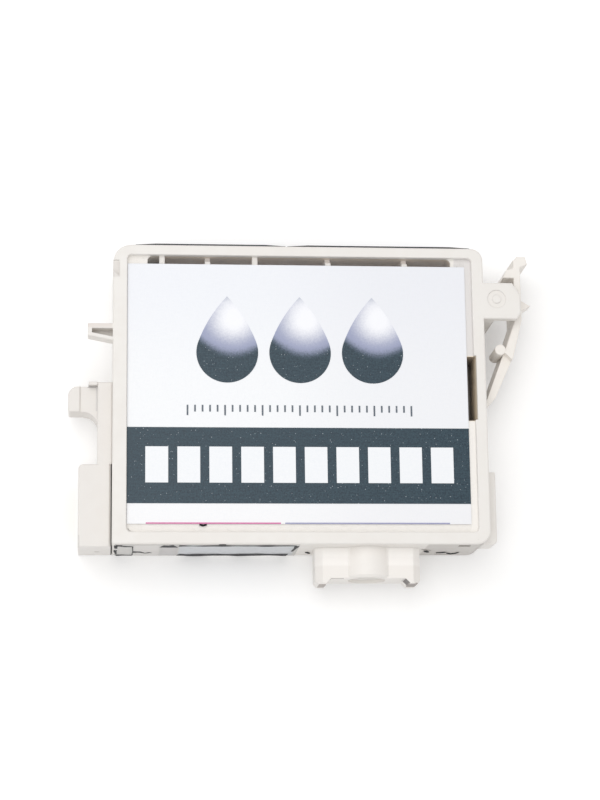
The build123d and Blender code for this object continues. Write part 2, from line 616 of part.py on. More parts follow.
def latch_lever():
    """The latch lever: slant-cut root, leaning arm, upright with catch, head, tooth and peg."""
    root_x, root_y = LEVER_ROOT_X, TOP - LEVER_ROOT_DOWN
    knee_x, knee_y = RIGHT + LEVER_KNEE_REACH, TOP - LEVER_KNEE_DOWN
    top_y = TOP - LEVER_TOP_DOWN
    half = LEVER_T / 2
    lean = atan2(knee_y - root_y, knee_x - root_x)
    across = (sin(lean), -cos(lean))
    spine = [(root_x, root_y, half), (RIGHT + LEVER_MID_REACH, TOP - LEVER_MID_DOWN, LEVER_MID_T / 2),
             (knee_x, knee_y, half)]
    outer_side = [(x + w * across[0], y + w * across[1]) for x, y, w in spine]
    inner_side = [(x - w * across[0], y - w * across[1]) for x, y, w in reversed(spine)]
    arm = prism(outer_side + inner_side, LEVER_BACK, LEVER_FRONT)
    outer, inner = knee_x + half, knee_x - half
    body = disc(root_x, root_y, LEVER_ROOT_R, LEVER_BACK, LEVER_FRONT) + arm
    body += disc(knee_x, knee_y, half, LEVER_BACK, LEVER_FRONT)
    body += block(inner, outer, knee_y, top_y - half, LEVER_BACK, LEVER_FRONT)
    head_low = top_y - LEVER_HEAD_H
    body += prism([(inner, head_low), (outer, head_low - half), (outer + LEVER_HEAD_OVERHANG, head_low),
                   (outer + LEVER_HEAD_OVERHANG - half / 2, top_y), (inner + half, top_y)],
                  LEVER_BACK, LEVER_FRONT)
    catch_low, catch_high = TOP - LEVER_CATCH_LOW, TOP - LEVER_CATCH_HIGH
    body += prism([(knee_x, catch_low), (outer - LEVER_CATCH_REACH - half, catch_low),
                   (outer - LEVER_CATCH_REACH, catch_high), (knee_x, catch_high + half)],
                  LEVER_BACK, LEVER_FRONT)
    body = soften(body, LEVER_EDGE_R)
    tooth_low, tooth_high = TOP - LEVER_TOOTH_LOW, TOP - LEVER_TOOTH_HIGH
    body += prism([(knee_x, tooth_low), (outer + LEVER_TOOTH_REACH, (tooth_low + tooth_high) / 2),
                   (knee_x, tooth_high)], LEVER_BACK + LEVER_TOOTH_BACK, LEVER_FRONT - LEVER_TOOTH_STEP)
    step_y = TOP - LEVER_STEP_DOWN + LEVER_STEP_REACH
    low_y = root_y - 2 * LEVER_ROOT_R
    body -= prism([(RIGHT, step_y), (outer, step_y - outer + RIGHT), (outer, low_y), (RIGHT, low_y)],
                  LEVER_FRONT - LEVER_STEP_DEPTH, LEVER_FRONT)
    cut = 2 * LEVER_ROOT_R
    body -= prism([(root_x - cut, root_y - cut), (root_x + cut, root_y - cut),
                   (root_x + cut, root_y + cut)], LEVER_BACK, LEVER_FRONT)
    return body + disc(RIGHT + LEVER_PEG_REACH, TOP - LEVER_PEG_DOWN, LEVER_PEG_R,
                       LEVER_FRONT - LEVER_PEG_L, LEVER_FRONT)


def hook():
    """The rounded hook on the carrier's column, with the lip above it."""
    root_x = LEFT - COLUMN_W
    low, high = at_y(HOOK_LOW), at_y(HOOK_HIGH)
    nose = block(LEFT - HOOK_REACH, root_x, low, high, HOOK_BACK, HOOK_FRONT)
    nose = round_corner(nose, LEFT - HOOK_REACH, high, HOOK_NOSE_CORNER)
    nose = round_corner(nose, LEFT - HOOK_REACH, low, HOOK_NOSE_CORNER / 4)
    dish_x = LEFT - HOOK_REACH + HOOK_NOSE_W
    nose -= block(dish_x, root_x, low, high, HOOK_FRONT - HOOK_DISH, HOOK_FRONT)
    nose = soften(nose, CARRIER_EDGE_R)
    web = block(root_x - HOOK_FILLET, root_x, low - HOOK_FILLET, low, HOOK_BACK,
                HOOK_FRONT - HOOK_DISH)
    web -= disc(root_x - HOOK_FILLET, low - HOOK_FILLET, HOOK_FILLET, 0, CASE_T)
    lip = block(root_x - HOOK_LIP_W, root_x, high, high + HOOK_LIP_H, HOOK_BACK, CARRIER_FRONT)
    return nose + web + lip


def chip_seat():
    """The recess of the chip board and the deeper well for the chip's resin."""
    face_x = LEFT - CARRIER_BLOCK_W
    well = face_x + CHIP_RECESS
    mid_y, mid_z = (at_y(CHIP_LOW) + at_y(CHIP_HIGH)) / 2, (CHIP_BACK + CHIP_FRONT) / 2
    seat = block(face_x, well, at_y(CHIP_LOW), at_y(CHIP_HIGH), CHIP_BACK, CHIP_FRONT)
    half_l = CHIP_DIE_L / 2 + CHIP_BOARD_CLEARANCE
    half_w = CHIP_DIE_W / 2 + CHIP_BOARD_CLEARANCE
    return seat + block(well, well + CHIP_DIE_T + CHIP_BOARD_CLEARANCE, mid_y - half_l,
                        mid_y + half_l, mid_z - half_w, mid_z + half_w)


def chip_carrier():
    """The side moulding that holds the memory chip, clipped to the case's left wall."""
    body = block(LEFT - COLUMN_W, LEFT, BOTTOM, at_y(COLUMN_TOP), 0, CARRIER_FRONT)
    lower = block(LEFT - CARRIER_BLOCK_W, LEFT, BOTTOM, at_y(CARRIER_BLOCK_H), 0, CARRIER_FRONT)
    lower = round_corner(lower, LEFT - CARRIER_BLOCK_W, at_y(CARRIER_BLOCK_H), CARRIER_BLOCK_CORNER)
    body = soften(body + lower, CARRIER_EDGE_R) + hook()
    body -= block(LEFT - CARRIER_RELIEF, LEFT, BOTTOM, at_y(CARRIER_BLOCK_H),
                  CARRIER_RELIEF_BACK, CARRIER_FRONT)
    bevel_x = LEFT - CARRIER_RELIEF
    bevel = make_face(Polyline((bevel_x, CARRIER_FRONT - CARRIER_BEVEL), (bevel_x, CARRIER_FRONT),
                               (bevel_x - CARRIER_BEVEL, CARRIER_FRONT), close=True))
    bevel = Pos(0, BOTTOM, 0) * Rot(90, 0, 0) * bevel
    body -= extrude(bevel, amount=-CARRIER_BLOCK_H)
    hole = rod_y(LEFT - COLUMN_W, CARRIER_HOLE_Z, CARRIER_HOLE_R, BOTTOM,
                 BOTTOM + CARRIER_HOLE_DEPTH)
    return body - chip_seat() - hole


def chip_parts():
    """The chip board, its contact pads and the resin over the chip on its back."""
    seat_x = LEFT - CARRIER_BLOCK_W + CHIP_RECESS
    face_x = seat_x - CHIP_BOARD_T
    gap = CHIP_BOARD_CLEARANCE
    board = block(face_x, seat_x, at_y(CHIP_LOW) + gap, at_y(CHIP_HIGH) - gap,
                  CHIP_BACK + gap, CHIP_FRONT - gap)
    mid_y, mid_z = (at_y(CHIP_LOW) + at_y(CHIP_HIGH)) / 2, (CHIP_BACK + CHIP_FRONT) / 2
    board_l = CHIP_HIGH - CHIP_LOW - 2 * gap
    board_w = CHIP_FRONT - CHIP_BACK - 2 * gap
    pitch = (board_l - CHIP_PAD_GAP) / max(CHIP_PAD_ROWS)
    pad_l = pitch - CHIP_PAD_GAP
    rows = len(CHIP_PAD_ROWS)
    pad_w = (board_w - (rows + 1) * CHIP_PAD_MARGIN) / rows
    pads = []
    for row, count in enumerate(CHIP_PAD_ROWS):
        z = mid_z + (row - (rows - 1) / 2) * (pad_w + CHIP_PAD_MARGIN)
        for index in range(count):
            y = mid_y + (index - (count - 1) / 2) * pitch
            pads.append(block(face_x - CHIP_PAD_T, face_x, y - pad_l / 2, y + pad_l / 2,
                              z - pad_w / 2, z + pad_w / 2))
    die = block(seat_x, seat_x + CHIP_DIE_T, mid_y - CHIP_DIE_L / 2, mid_y + CHIP_DIE_L / 2,
                mid_z - CHIP_DIE_W / 2, mid_z + CHIP_DIE_W / 2)
    die = fillet(die.edges().filter_by(Axis.X), CHIP_DIE_T / 2)
    return board, Compound(pads), die


def port_parts():
    """The supply seal, the valve that shuts it and the spring behind the valve."""
    x = at_x(PORT_X)
    seal = rod_y(x, PORT_Z, SEAL_R, SEAL_Y, VALVE_Y_SEAT)
    seal -= rod_y(x, PORT_Z, SEAL_BORE_R, SEAL_Y, VALVE_Y_SEAT)
    mouth = Pos(x, SEAL_Y + SEAL_MOUTH / 2, PORT_Z) * Rot(90, 0, 0) * Cone(
        SEAL_BORE_R, SEAL_BORE_R + SEAL_MOUTH, SEAL_MOUTH)
    seal -= mouth
    head_top = VALVE_Y_SEAT + VALVE_HEAD_T
    valve = rod_y(x, PORT_Z, VALVE_HEAD_R, VALVE_Y_SEAT, head_top)
    spring_l = PORT_WELL_Y - head_top
    stem_l = spring_l - VALVE_TRAVEL - LOOSE_CLEARANCE
    valve += rod_y(x, PORT_Z, VALVE_STEM_R, head_top, head_top + stem_l)
    spring = coil_spring(x, head_top, PORT_Z, Rot(-90, 0, 0), SUPPLY_SPRING_R,
                         SUPPLY_SPRING_WIRE, spring_l, SUPPLY_SPRING_TURNS)
    return seal, valve, spring


def valve_parts():
    """The regulator valve in the back: diaphragm, spring behind it and the cap that holds both."""
    x, y = at_x(VALVE_X), at_y(VALVE_Y)
    cap_in = BACK_RECESS + VALVE_CAP_T
    disc_in = cap_in + DIAPHRAGM_T
    cap = disc(x, y, VALVE_CAP_R, BACK_RECESS, cap_in) - disc(x, y, INK_HOLE_R, 0, cap_in)
    diaphragm = disc(x, y, DIAPHRAGM_R, cap_in, disc_in)
    spring = coil_spring(x, y, disc_in, Rot(0, 0, 0), VALVE_SPRING_R, VALVE_SPRING_WIRE,
                         VALVE_WELL_DEPTH, 2)
    return cap, diaphragm, spring


def small_discs():
    """The ink filter and the vent membrane, each on its ledge in the back."""
    screen = disc(at_x(FILTER_X), at_y(FILTER_Y), FILTER_R,
                  BACK_RECESS + FILTER_LEDGE - FILTER_T, BACK_RECESS + FILTER_LEDGE)
    membrane = disc(at_x(VENT_X), at_y(VENT_Y), VENT_R,
                    BACK_RECESS + VENT_LEDGE - VENT_T, BACK_RECESS + VENT_LEDGE)
    return screen, membrane


def rear_skins():
    """The back film and, over its lower part, the rear label that lies flush with the back."""
    edge = BACK_RIM + REAR_CLEARANCE
    film = block(LEFT + edge, RIGHT - edge, BOTTOM + edge, TOP - edge, BACK_FILM_Z, BACK_RECESS)
    label = block(LEFT + edge, RIGHT - edge, BOTTOM + edge, TOP - REAR_LABEL_BELOW_TOP,
                  0, BACK_FILM_Z)
    return film, label


def label_box(x0, x1, y0, y1):
    """A printed field on the label between two places from the left and bottom walls."""
    return block(at_x(x0), at_x(x1), at_y(y0), at_y(y1), LABEL_TOP_Z, LABEL_TOP_Z + PRINT_T)


def front_skins():
    """The front film over the chambers and the label on it."""
    gap = FRONT_FILM_MARGIN
    film = block(LEFT + RIM_LEFT + gap, RIGHT - RIM_RIGHT - LABEL_RIGHT_GAP,
                 BOTTOM + RIM_BOTTOM + gap, TOP - RIM_TOP - gap, RECESS_Z, FILM_TOP)
    film = fillet(film.edges().filter_by(Axis.Z), RECESS_CORNER)
    label = block(at_x(LABEL_LEFT), at_x(LABEL_RIGHT), at_y(LABEL_LOW), at_y(LABEL_HIGH),
                  FILM_TOP, LABEL_TOP_Z)
    return film, label


def drop(x):
    """One printed drop: a round bowl and two swelling sides that run on from it to the tip."""
    centre_y = at_y(label_share(DROP_CENTRE_SHARE))
    bowl = CenterArc((x, centre_y), DROP_R, 180 - DROP_SHOULDER, 180 + 2 * DROP_SHOULDER)
    tip = (x, centre_y + DROP_TIP_RISE)
    right_side = TangentArc(bowl @ 1, tip, tangent=bowl % 1)
    left_side = TangentArc(bowl @ 0, tip, tangent=-(bowl % 0))
    outline = make_face([bowl, right_side, left_side])
    return extrude(Pos(0, 0, LABEL_TOP_Z) * outline, amount=PRINT_T)


def level_bars():
    """The row of level bars, printed over the band."""
    start, end = LABEL_LEFT + LEVEL_BAR_MARGIN_LEFT, LABEL_RIGHT - LEVEL_BAR_MARGIN_RIGHT
    low, high = (label_share(share) for share in LEVEL_BAR_SHARES)
    pitch = (end - start + LEVEL_BAR_GAP) / LEVEL_BAR_COUNT
    bars = [label_box(start + index * pitch, start + (index + 1) * pitch - LEVEL_BAR_GAP, low, high)
            for index in range(LEVEL_BAR_COUNT)]
    return Compound([Pos(0, 0, PRINT_T) * bar for bar in bars])


def scale_ticks():
    """The row of ticks under the drops, each group opened by a longer one."""
    start, end = LABEL_LEFT + TICK_MARGIN_LEFT, LABEL_RIGHT - TICK_MARGIN_RIGHT
    low, high = (label_share(share) for share in TICK_SHARES)
    ticks = []
    for index in range(TICK_COUNT):
        x = start + index * (end - start) / (TICK_COUNT - 1)
        low_end = low + (TICK_SHORT if index % TICK_GROUP else 0)
        ticks.append(label_box(x - TICK_W / 2, x + TICK_W / 2, low_end, high))
    return Compound(ticks)


def print_fields():
    """The fields printed on the label, by node name."""
    band_low, band_high = (label_share(share) for share in BAND_SHARES)
    split = LABEL_LEFT + EDGE_LINE_SPLIT_SHARE * (LABEL_RIGHT - LABEL_LEFT)
    line_high = LABEL_LOW + EDGE_LINE_W
    middle = (DROP_COUNT - 1) / 2
    return {
        "label_band": label_box(LABEL_LEFT, LABEL_RIGHT, band_low, band_high),
        "label_level_bars": level_bars(),
        "label_ticks": scale_ticks(),
        "label_drops": Compound([drop((index - middle) * DROP_PITCH)
                                 for index in range(DROP_COUNT)]),
        "label_warm_line": label_box(LABEL_LEFT + EDGE_LINE_MARGIN_LEFT,
                                     split - EDGE_LINE_GAP / 2, LABEL_LOW, line_high),
        "label_cool_line": label_box(split + EDGE_LINE_GAP / 2,
                                     LABEL_RIGHT - EDGE_LINE_MARGIN_RIGHT, LABEL_LOW, line_high),
    }


def top_film(x0, x1):
    """One strip of film on the top side, thinned towards both ends."""
    thin, full = TOP + TOP_FILM_END_T, TOP + TOP_FILM_T
    return prism([(x0, TOP), (x0, thin), (x0 + TOP_FILM_TAPER, full),
                  (x1 - TOP_FILM_TAPER, full), (x1, thin), (x1, TOP)],
                 TOP_FILM_BACK_MARGIN, CASE_T - TOP_FILM_FRONT_MARGIN)


def top_films():
    """The two dark strips of film on the top side."""
    half = TOP_FILM_SPLIT_GAP / 2
    return (top_film(at_x(TOP_FILM_LEFT_START), at_x(TOP_FILM_SPLIT - half)),
            top_film(at_x(TOP_FILM_SPLIT + half), RIGHT - TOP_FILM_RIGHT_MARGIN))


def channel_film():
    """The clear film that closes the cells in the bottom side."""
    return block(at_x(CHANNEL_FILM_START), at_x(CHANNEL_FILM_END), BOTTOM - CHANNEL_FILM_T,
                 BOTTOM, CHANNEL_FILM_MARGIN, CASE_T - CHANNEL_FILM_MARGIN)


def fill_plug():
    """The plug pressed into the filling hole."""
    return rod_y(at_x(FILL_X), CASE_T / 2, FILL_R, TOP - FILL_PLUG_L, TOP)


def cartridge():
    """Every piece of the cartridge by node name."""
    board, pads, die = chip_parts()
    seal, valve, spring = port_parts()
    cap, diaphragm, valve_spring = valve_parts()
    screen, membrane = small_discs()
    back_film, rear_label = rear_skins()
    front_film, label = front_skins()
    top_left, top_right = top_films()
    pieces = {
        "case_body": case_body(),
        "chamber_ribs": chamber_ribs(),
        "latch_lever": latch_lever(),
        "chip_carrier": chip_carrier(),
        "chip_board": board,
        "chip_contacts": pads,
        "chip_resin": die,
        "port_seal": seal,
        "supply_valve": valve,
        "supply_spring": spring,
        "regulator_cap": cap,
        "regulator_diaphragm": diaphragm,
        "regulator_spring": valve_spring,
        "ink_filter": screen,
        "vent_membrane": membrane,
        "fill_plug": fill_plug(),
        "back_film": back_film,
        "rear_label": rear_label,
        "front_film": front_film,
        "front_label": label,
        "top_film_left": top_left,
        "top_film_right": top_right,
        "channel_film": channel_film(),
    }
    return {**pieces, **print_fields()}


for node, piece in cartridge().items():
    export_step(piece, os.path.join("parts", node + ".step"))
    print(node, round(piece.volume, 3))
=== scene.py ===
"""Dresses the flat ink cartridge: moulded plastic, films, printed label, dried ink, table and camera."""

import logging
import math
from abc import ABC, abstractmethod
from dataclasses import dataclass
from enum import Enum
from typing import Callable

import bmesh
import bpy
from mathutils import Matrix, Vector

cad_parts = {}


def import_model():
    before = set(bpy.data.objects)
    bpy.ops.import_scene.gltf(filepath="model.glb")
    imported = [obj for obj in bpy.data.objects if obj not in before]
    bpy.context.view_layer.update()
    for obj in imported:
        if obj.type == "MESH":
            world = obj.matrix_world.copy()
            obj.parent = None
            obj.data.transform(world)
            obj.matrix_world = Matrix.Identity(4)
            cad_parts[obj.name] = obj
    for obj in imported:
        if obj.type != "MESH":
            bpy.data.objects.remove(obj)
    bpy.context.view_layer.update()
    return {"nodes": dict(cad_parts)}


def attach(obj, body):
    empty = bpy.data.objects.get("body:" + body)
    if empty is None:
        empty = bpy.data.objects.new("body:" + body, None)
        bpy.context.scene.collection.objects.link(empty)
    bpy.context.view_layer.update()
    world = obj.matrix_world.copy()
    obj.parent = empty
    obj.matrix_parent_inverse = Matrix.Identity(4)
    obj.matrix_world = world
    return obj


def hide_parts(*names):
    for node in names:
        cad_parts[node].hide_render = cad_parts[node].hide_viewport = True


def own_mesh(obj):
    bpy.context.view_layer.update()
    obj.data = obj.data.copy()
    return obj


LOG = logging.getLogger("cartridge")

MM = 0.001
CASE_W = 62.0
CASE_H = 50.3
CASE_T = 12.8
# Heights of the printed label's face over the case's back, and of the channel film's over its bottom side.
LABEL_FACE = 12.1
BOTTOM_FILM_FACE = -0.14

Colour = tuple[float, float, float, float]
Place = tuple[float, float, float]
Socket = bpy.types.NodeSocket
Sockets = dict[str, Socket]


class Body(Enum):
    """The moving bodies of the cartridge that pieces ride on."""

    CASE = "case"
    LATCH = "latch"
    VALVE = "valve"


def rgb(red: float, green: float, blue: float) -> Colour:
    """An opaque colour from its three linear parts."""
    return (red, green, blue, 1.0)


def spot(from_left: float, from_bottom: float, height: float) -> Vector:
    """The place, in metres, that lies so many millimetres from the case's left, bottom and back."""
    return Vector((from_left - CASE_W / 2, from_bottom - CASE_H / 2, height)) * MM


class Bench:
    """A node tree with short calls for the nodes that the finishes need."""

    def __init__(self, tree: bpy.types.NodeTree) -> None:
        """Keeps the tree that the calls add to."""
        self.tree = tree

    def add(self, kind: str, **settings: object) -> bpy.types.Node:
        """Adds a node and sets its options.

        Args:
            kind: Blender's name for the node type.
            settings: options of the node by name.

        Returns:
            The new node.
        """
        node = self.tree.nodes.new(kind)
        for name, value in settings.items():
            setattr(node, name, value)
        return node

    def feed(self, target: Socket, value: object) -> None:
        """Links a socket to a target, or sets a plain value on it.

        Args:
            target: the input socket.
            value: a socket or a plain value.
        """
        if isinstance(value, bpy.types.NodeSocket):
            self.tree.links.new(value, target)
        else:
            target.default_value = value

    def maths(self, operation: str, first: object, second: object = 0.0, clamp: bool = False) -> Socket:
        """Adds a Math node.

        Args:
            operation: the node's operation.
            first: first number or socket.
            second: second number or socket.
            clamp: keeps the result between 0 and 1.

        Returns:
            The node's value.
        """
        node = self.add("ShaderNodeMath", operation=operation, use_clamp=clamp)
        self.feed(node.inputs[0], first)
        self.feed(node.inputs[1], second)
        return node.outputs[0]

    def times(self, first: object, second: object, clamp: bool = False) -> Socket:
        """The product of two numbers or sockets."""
        return self.maths("MULTIPLY", first, second, clamp)

    def plus(self, first: object, second: object, clamp: bool = False) -> Socket:
        """The sum of two numbers or sockets."""
        return self.maths("ADD", first, second, clamp)

    def minus(self, first: object, second: object) -> Socket:
        """The difference of two numbers or sockets."""
        return self.maths("SUBTRACT", first, second)

    def vector(self, operation: str, first: object, second: object = (0.0, 0.0, 0.0)) -> bpy.types.Node:
        """Adds a Vector Math node of two vectors.

        Args:
            operation: the node's operation.
            first: first vector or socket.
            second: second vector or socket.

        Returns:
            The node, as some operations give a vector and some a number.
        """
        node = self.add("ShaderNodeVectorMath", operation=operation)
        self.feed(node.inputs[0], first)
        self.feed(node.inputs[1], second)
        return node

    def mix(self, factor: object, first: object, second: object, mode: str = "MIX") -> Socket:
        """Mixes two colours.

        Args:
            factor: share of the second colour.
            first: first colour or socket.
            second: second colour or socket.
            mode: Blender's blend type.

        Returns:
            The mixed colour.
        """
        node = self.add("ShaderNodeMix", data_type="RGBA", blend_type=mode)
        self.feed(node.inputs[0], factor)
        self.feed(node.inputs[6], first)
        self.feed(node.inputs[7], second)
        return node.outputs[2]

    def noise(self, place: Socket, scale: float, detail: float = 2.0, rough: float = 0.5) -> Socket:
        """Adds a noise texture.

        Args:
            place: coordinates in millimetres.
            scale: cells to the millimetre.
            detail: how many finer layers lie on the first.
            rough: how strong the finer layers are.

        Returns:
            Noise between 0 and 1.
        """
        node = self.add("ShaderNodeTexNoise")
        self.feed(node.inputs["Vector"], place)
        node.inputs["Scale"].default_value = scale
        node.inputs["Detail"].default_value = detail
        node.inputs["Roughness"].default_value = rough
        return node.outputs["Fac"]

    def span(self, value: object, low: float, high: float, start: float = 0.0, end: float = 1.0) -> Socket:
        """A smooth step of a value.

        Args:
            value: the number or socket that is read.
            low: where the step begins.
            high: where the step ends.
            start: result at and before low.
            end: result at and after high.

        Returns:
            The stepped value.
        """
        node = self.add("ShaderNodeMapRange", interpolation_type="SMOOTHSTEP")
        for socket, number in zip(node.inputs, (value, low, high, start, end)):
            self.feed(socket, number)
        return node.outputs[0]

    def parts(self, vector: Socket) -> tuple[Socket, Socket, Socket]:
        """Splits a vector.

        Args:
            vector: the vector.

        Returns:
            Its three parts.
        """
        node = self.add("ShaderNodeSeparateXYZ")
        self.feed(node.inputs[0], vector)
        return node.outputs[0], node.outputs[1], node.outputs[2]

    def stretch(self, place: Socket, factors: Place) -> Socket:
        """A place multiplied part by part."""
        return self.vector("MULTIPLY", place, factors).outputs[0]

    def bump(self, height: Socket, strength: float, normal: Socket | None = None) -> Socket:
        """A normal bent by a height in hundredths of a millimetre.

        Args:
            height: the height that bends the surface.
            strength: share of the bend that is kept.
            normal: a normal to start from, or the surface's own.

        Returns:
            The bent normal.
        """
        node = self.add("ShaderNodeBump")
        node.inputs["Strength"].default_value = strength
        node.inputs["Distance"].default_value = 0.01 * MM
        self.feed(node.inputs["Height"], height)
        if normal is not None:
            self.feed(node.inputs["Normal"], normal)
        return node.outputs[0]

    def choose(self, share: Socket, first: bpy.types.Node, second: bpy.types.Node) -> Socket:
        """Mixes two shaders.

        Args:
            share: share of the second shader.
            first: the first shader's node.
            second: the second shader's node.

        Returns:
            The mixed shader.
        """
        node = self.add("ShaderNodeMixShader")
        for socket, value in zip(node.inputs, (share, first.outputs[0], second.outputs[0])):
            self.feed(socket, value)
        return node.outputs[0]

    def surface(self, shader: bpy.types.NodeInputs, colour: Socket, roughness: Socket, normal: Socket) -> None:
        """Feeds a shader's colour, roughness and normal."""
        for name, value in (("Base Color", colour), ("Roughness", roughness), ("Normal", normal)):
            self.feed(shader[name], value)

    def millimetres(self) -> Socket:
        """The object's own coordinates in millimetres, which are the model's."""
        place = self.add("ShaderNodeTexCoord").outputs["Object"]
        return self.stretch(place, (1 / MM, 1 / MM, 1 / MM))


@dataclass(frozen=True)
class Effect:
    """A shader node group that is built once and placed in each material with its own values."""

    title: str
    inputs: tuple[tuple[str, str, object], ...]
    outputs: tuple[tuple[str, str], ...]
    wire: Callable[[Bench, Sockets], Sockets]

    def tree(self) -> bpy.types.NodeTree:
        """Finds the group, or builds it the first time.

        Returns:
            The node group.
        """
        found = bpy.data.node_groups.get(self.title)
        if found:
            return found
        tree = bpy.data.node_groups.new(self.title, "ShaderNodeTree")
        for name, kind, value in self.inputs:
            socket = tree.interface.new_socket(name=name, in_out="INPUT", socket_type="NodeSocket" + kind)
            socket.default_value = value
        for name, kind in self.outputs:
            tree.interface.new_socket(name=name, in_out="OUTPUT", socket_type="NodeSocket" + kind)
        bench = Bench(tree)
        entry, leave = bench.add("NodeGroupInput"), bench.add("NodeGroupOutput")
        made = self.wire(bench, {socket.name: socket for socket in entry.outputs if socket.name})
        for name, socket in made.items():
            bench.feed(leave.inputs[name], socket)
        return tree

    def place(self, bench: Bench, **values: object) -> Sockets:
        """Places the group in a material.

        Args:
            bench: the material's bench.
            values: sockets or values of the group's inputs by name.

        Returns:
            The group's outputs by name.
        """
        node = bench.add("ShaderNodeGroup", node_tree=self.tree())
        for name, value in values.items():
            bench.feed(node.inputs[name], value)
        return {socket.name: socket for socket in node.outputs}


def wire_round_edges(bench: Bench, given: Sockets) -> Sockets:
    """Rounds small edges in the normal and marks them for wear and a painted highlight.

    Args:
        bench: the group's bench.
        given: the group's inputs by name.

    Returns:
        The group's outputs by name.
    """
    bevel = bench.add("ShaderNodeBevel", samples=4)
    bench.feed(bevel.inputs["Radius"], given["Radius"])
    flat = bench.add("ShaderNodeNewGeometry").outputs["Normal"]
    likeness = bench.vector("DOT_PRODUCT", bevel.outputs[0], flat).outputs["Value"]
    return {"Normal": bevel.outputs[0], "Wear": bench.span(likeness, 0.99, 0.7)}


def wire_moulded_skin(bench: Bench, given: Sockets) -> Sockets:
    """Mixes two tints in soft clouds and makes the fine pitted grain of a mould.

    Args:
        bench: the group's bench.
        given: the group's inputs by name.

    Returns:
        The group's outputs by name.
    """
    cloud = bench.noise(given["Place"], 0.07, detail=4.0, rough=0.6)
    patch = bench.noise(given["Place"], 0.6, detail=3.0, rough=0.55)
    both = bench.plus(bench.times(cloud, 0.65), bench.times(patch, 0.35))
    share = bench.times(bench.span(both, 0.36, 0.64), given["Mottle"], clamp=True)
    colour = bench.mix(share, given["Tint"], given["Shade"])
    grain = bench.noise(given["Place"], 7.0, detail=3.0, rough=0.6)
    sink = bench.noise(given["Place"], 0.35, detail=1.0, rough=0.5)
    height = bench.plus(grain, bench.times(sink, 6.0))
    gloss = bench.span(patch, 0.3, 0.7, -0.06, 0.06)
    return {"Color": colour, "Gloss": gloss, "Height": height}


def wire_dust(bench: Bench, given: Sockets) -> Sockets:
    """Scatters small specks of dust and lint.

    Args:
        bench: the group's bench.
        given: the group's inputs by name.

    Returns:
        The group's outputs by name.
    """
    cells = bench.add("ShaderNodeTexVoronoi")
    bench.feed(cells.inputs["Vector"], given["Place"])
    cells.inputs["Scale"].default_value = 0.9
    chosen = bench.maths("LESS_THAN", bench.parts(cells.outputs["Color"])[0], given["Amount"])
    dot = bench.span(cells.outputs["Distance"], 0.07, 0.11, 1.0, 0.0)
    lint = bench.noise(bench.stretch(given["Place"], (1.0, 9.0, 1.0)), 0.8, detail=3.0, rough=0.7)
    thread = bench.times(bench.span(lint, 0.74, 0.78), given["Amount"])
    return {"Mask": bench.plus(bench.times(chosen, dot), thread, clamp=True)}


def wire_box_mask(bench: Bench, given: Sockets) -> Sockets:
    """Marks the places inside a box with soft sides.

    Args:
        bench: the group's bench.
        given: the group's inputs by name.

    Returns:
        The group's outputs by name.
    """
    soft = bench.add("ShaderNodeCombineXYZ")
    for socket in soft.inputs:
        bench.feed(socket, given["Soft"])
    above = bench.vector("SUBTRACT", given["Place"], given["Low"]).outputs[0]
    below = bench.vector("SUBTRACT", given["High"], given["Place"]).outputs[0]
    nearest = bench.vector("MINIMUM", above, below).outputs[0]
    x, y, z = bench.parts(bench.vector("DIVIDE", nearest, soft.outputs[0]).outputs[0])
    lowest = bench.maths("MINIMUM", bench.maths("MINIMUM", x, y), z)
    return {"Mask": bench.plus(lowest, 0.5, clamp=True)}


def wire_print_grain(bench: Bench, given: Sockets) -> Sockets:
    """Breaks a printed tint into uneven lines and missing dots that let the paper through.

    Args:
        bench: the group's bench.
        given: the group's inputs by name.

    Returns:
        The group's outputs by name.
    """
    cells = bench.add("ShaderNodeTexVoronoi")
    bench.feed(cells.inputs["Vector"], given["Place"])
    cells.inputs["Scale"].default_value = 4.2
    share, size, _ = bench.parts(cells.outputs["Color"])
    chosen = bench.maths("LESS_THAN", share, given["Missing"])
    reach = bench.times(bench.plus(size, 0.3), 0.24)
    dot = bench.maths("LESS_THAN", cells.outputs["Distance"], reach)
    hole = bench.times(chosen, dot)
    lines = bench.noise(bench.stretch(given["Place"], (0.25, 5.0, 1.0)), 1.0, detail=2.0, rough=0.6)
    clouds = bench.noise(given["Place"], 3.4, detail=3.0, rough=0.8)
    tone = bench.plus(bench.times(lines, 0.2), bench.times(clouds, 0.8))
    uneven = bench.mix(bench.span(tone, 0.35, 0.65), given["Ink"], given["Thin"])
    return {"Color": bench.mix(bench.times(hole, 0.45), uneven, given["Paper"]), "Height": tone}


def wire_paper_fibre(bench: Bench, given: Sockets) -> Sockets:
    """Lays fine fibres both ways under a coated paper.

    Args:
        bench: the group's bench.
        given: the group's inputs by name.

    Returns:
        The group's outputs by name.
    """
    along = bench.noise(bench.stretch(given["Place"], (0.6, 4.0, 1.0)), 1.6, detail=3.0, rough=0.6)
    across = bench.noise(bench.stretch(given["Place"], (4.0, 0.6, 1.0)), 1.6, detail=3.0, rough=0.6)
    felt = bench.times(bench.plus(along, across), 0.5)
    return {"Shade": bench.span(felt, 0.35, 0.65), "Height": felt}


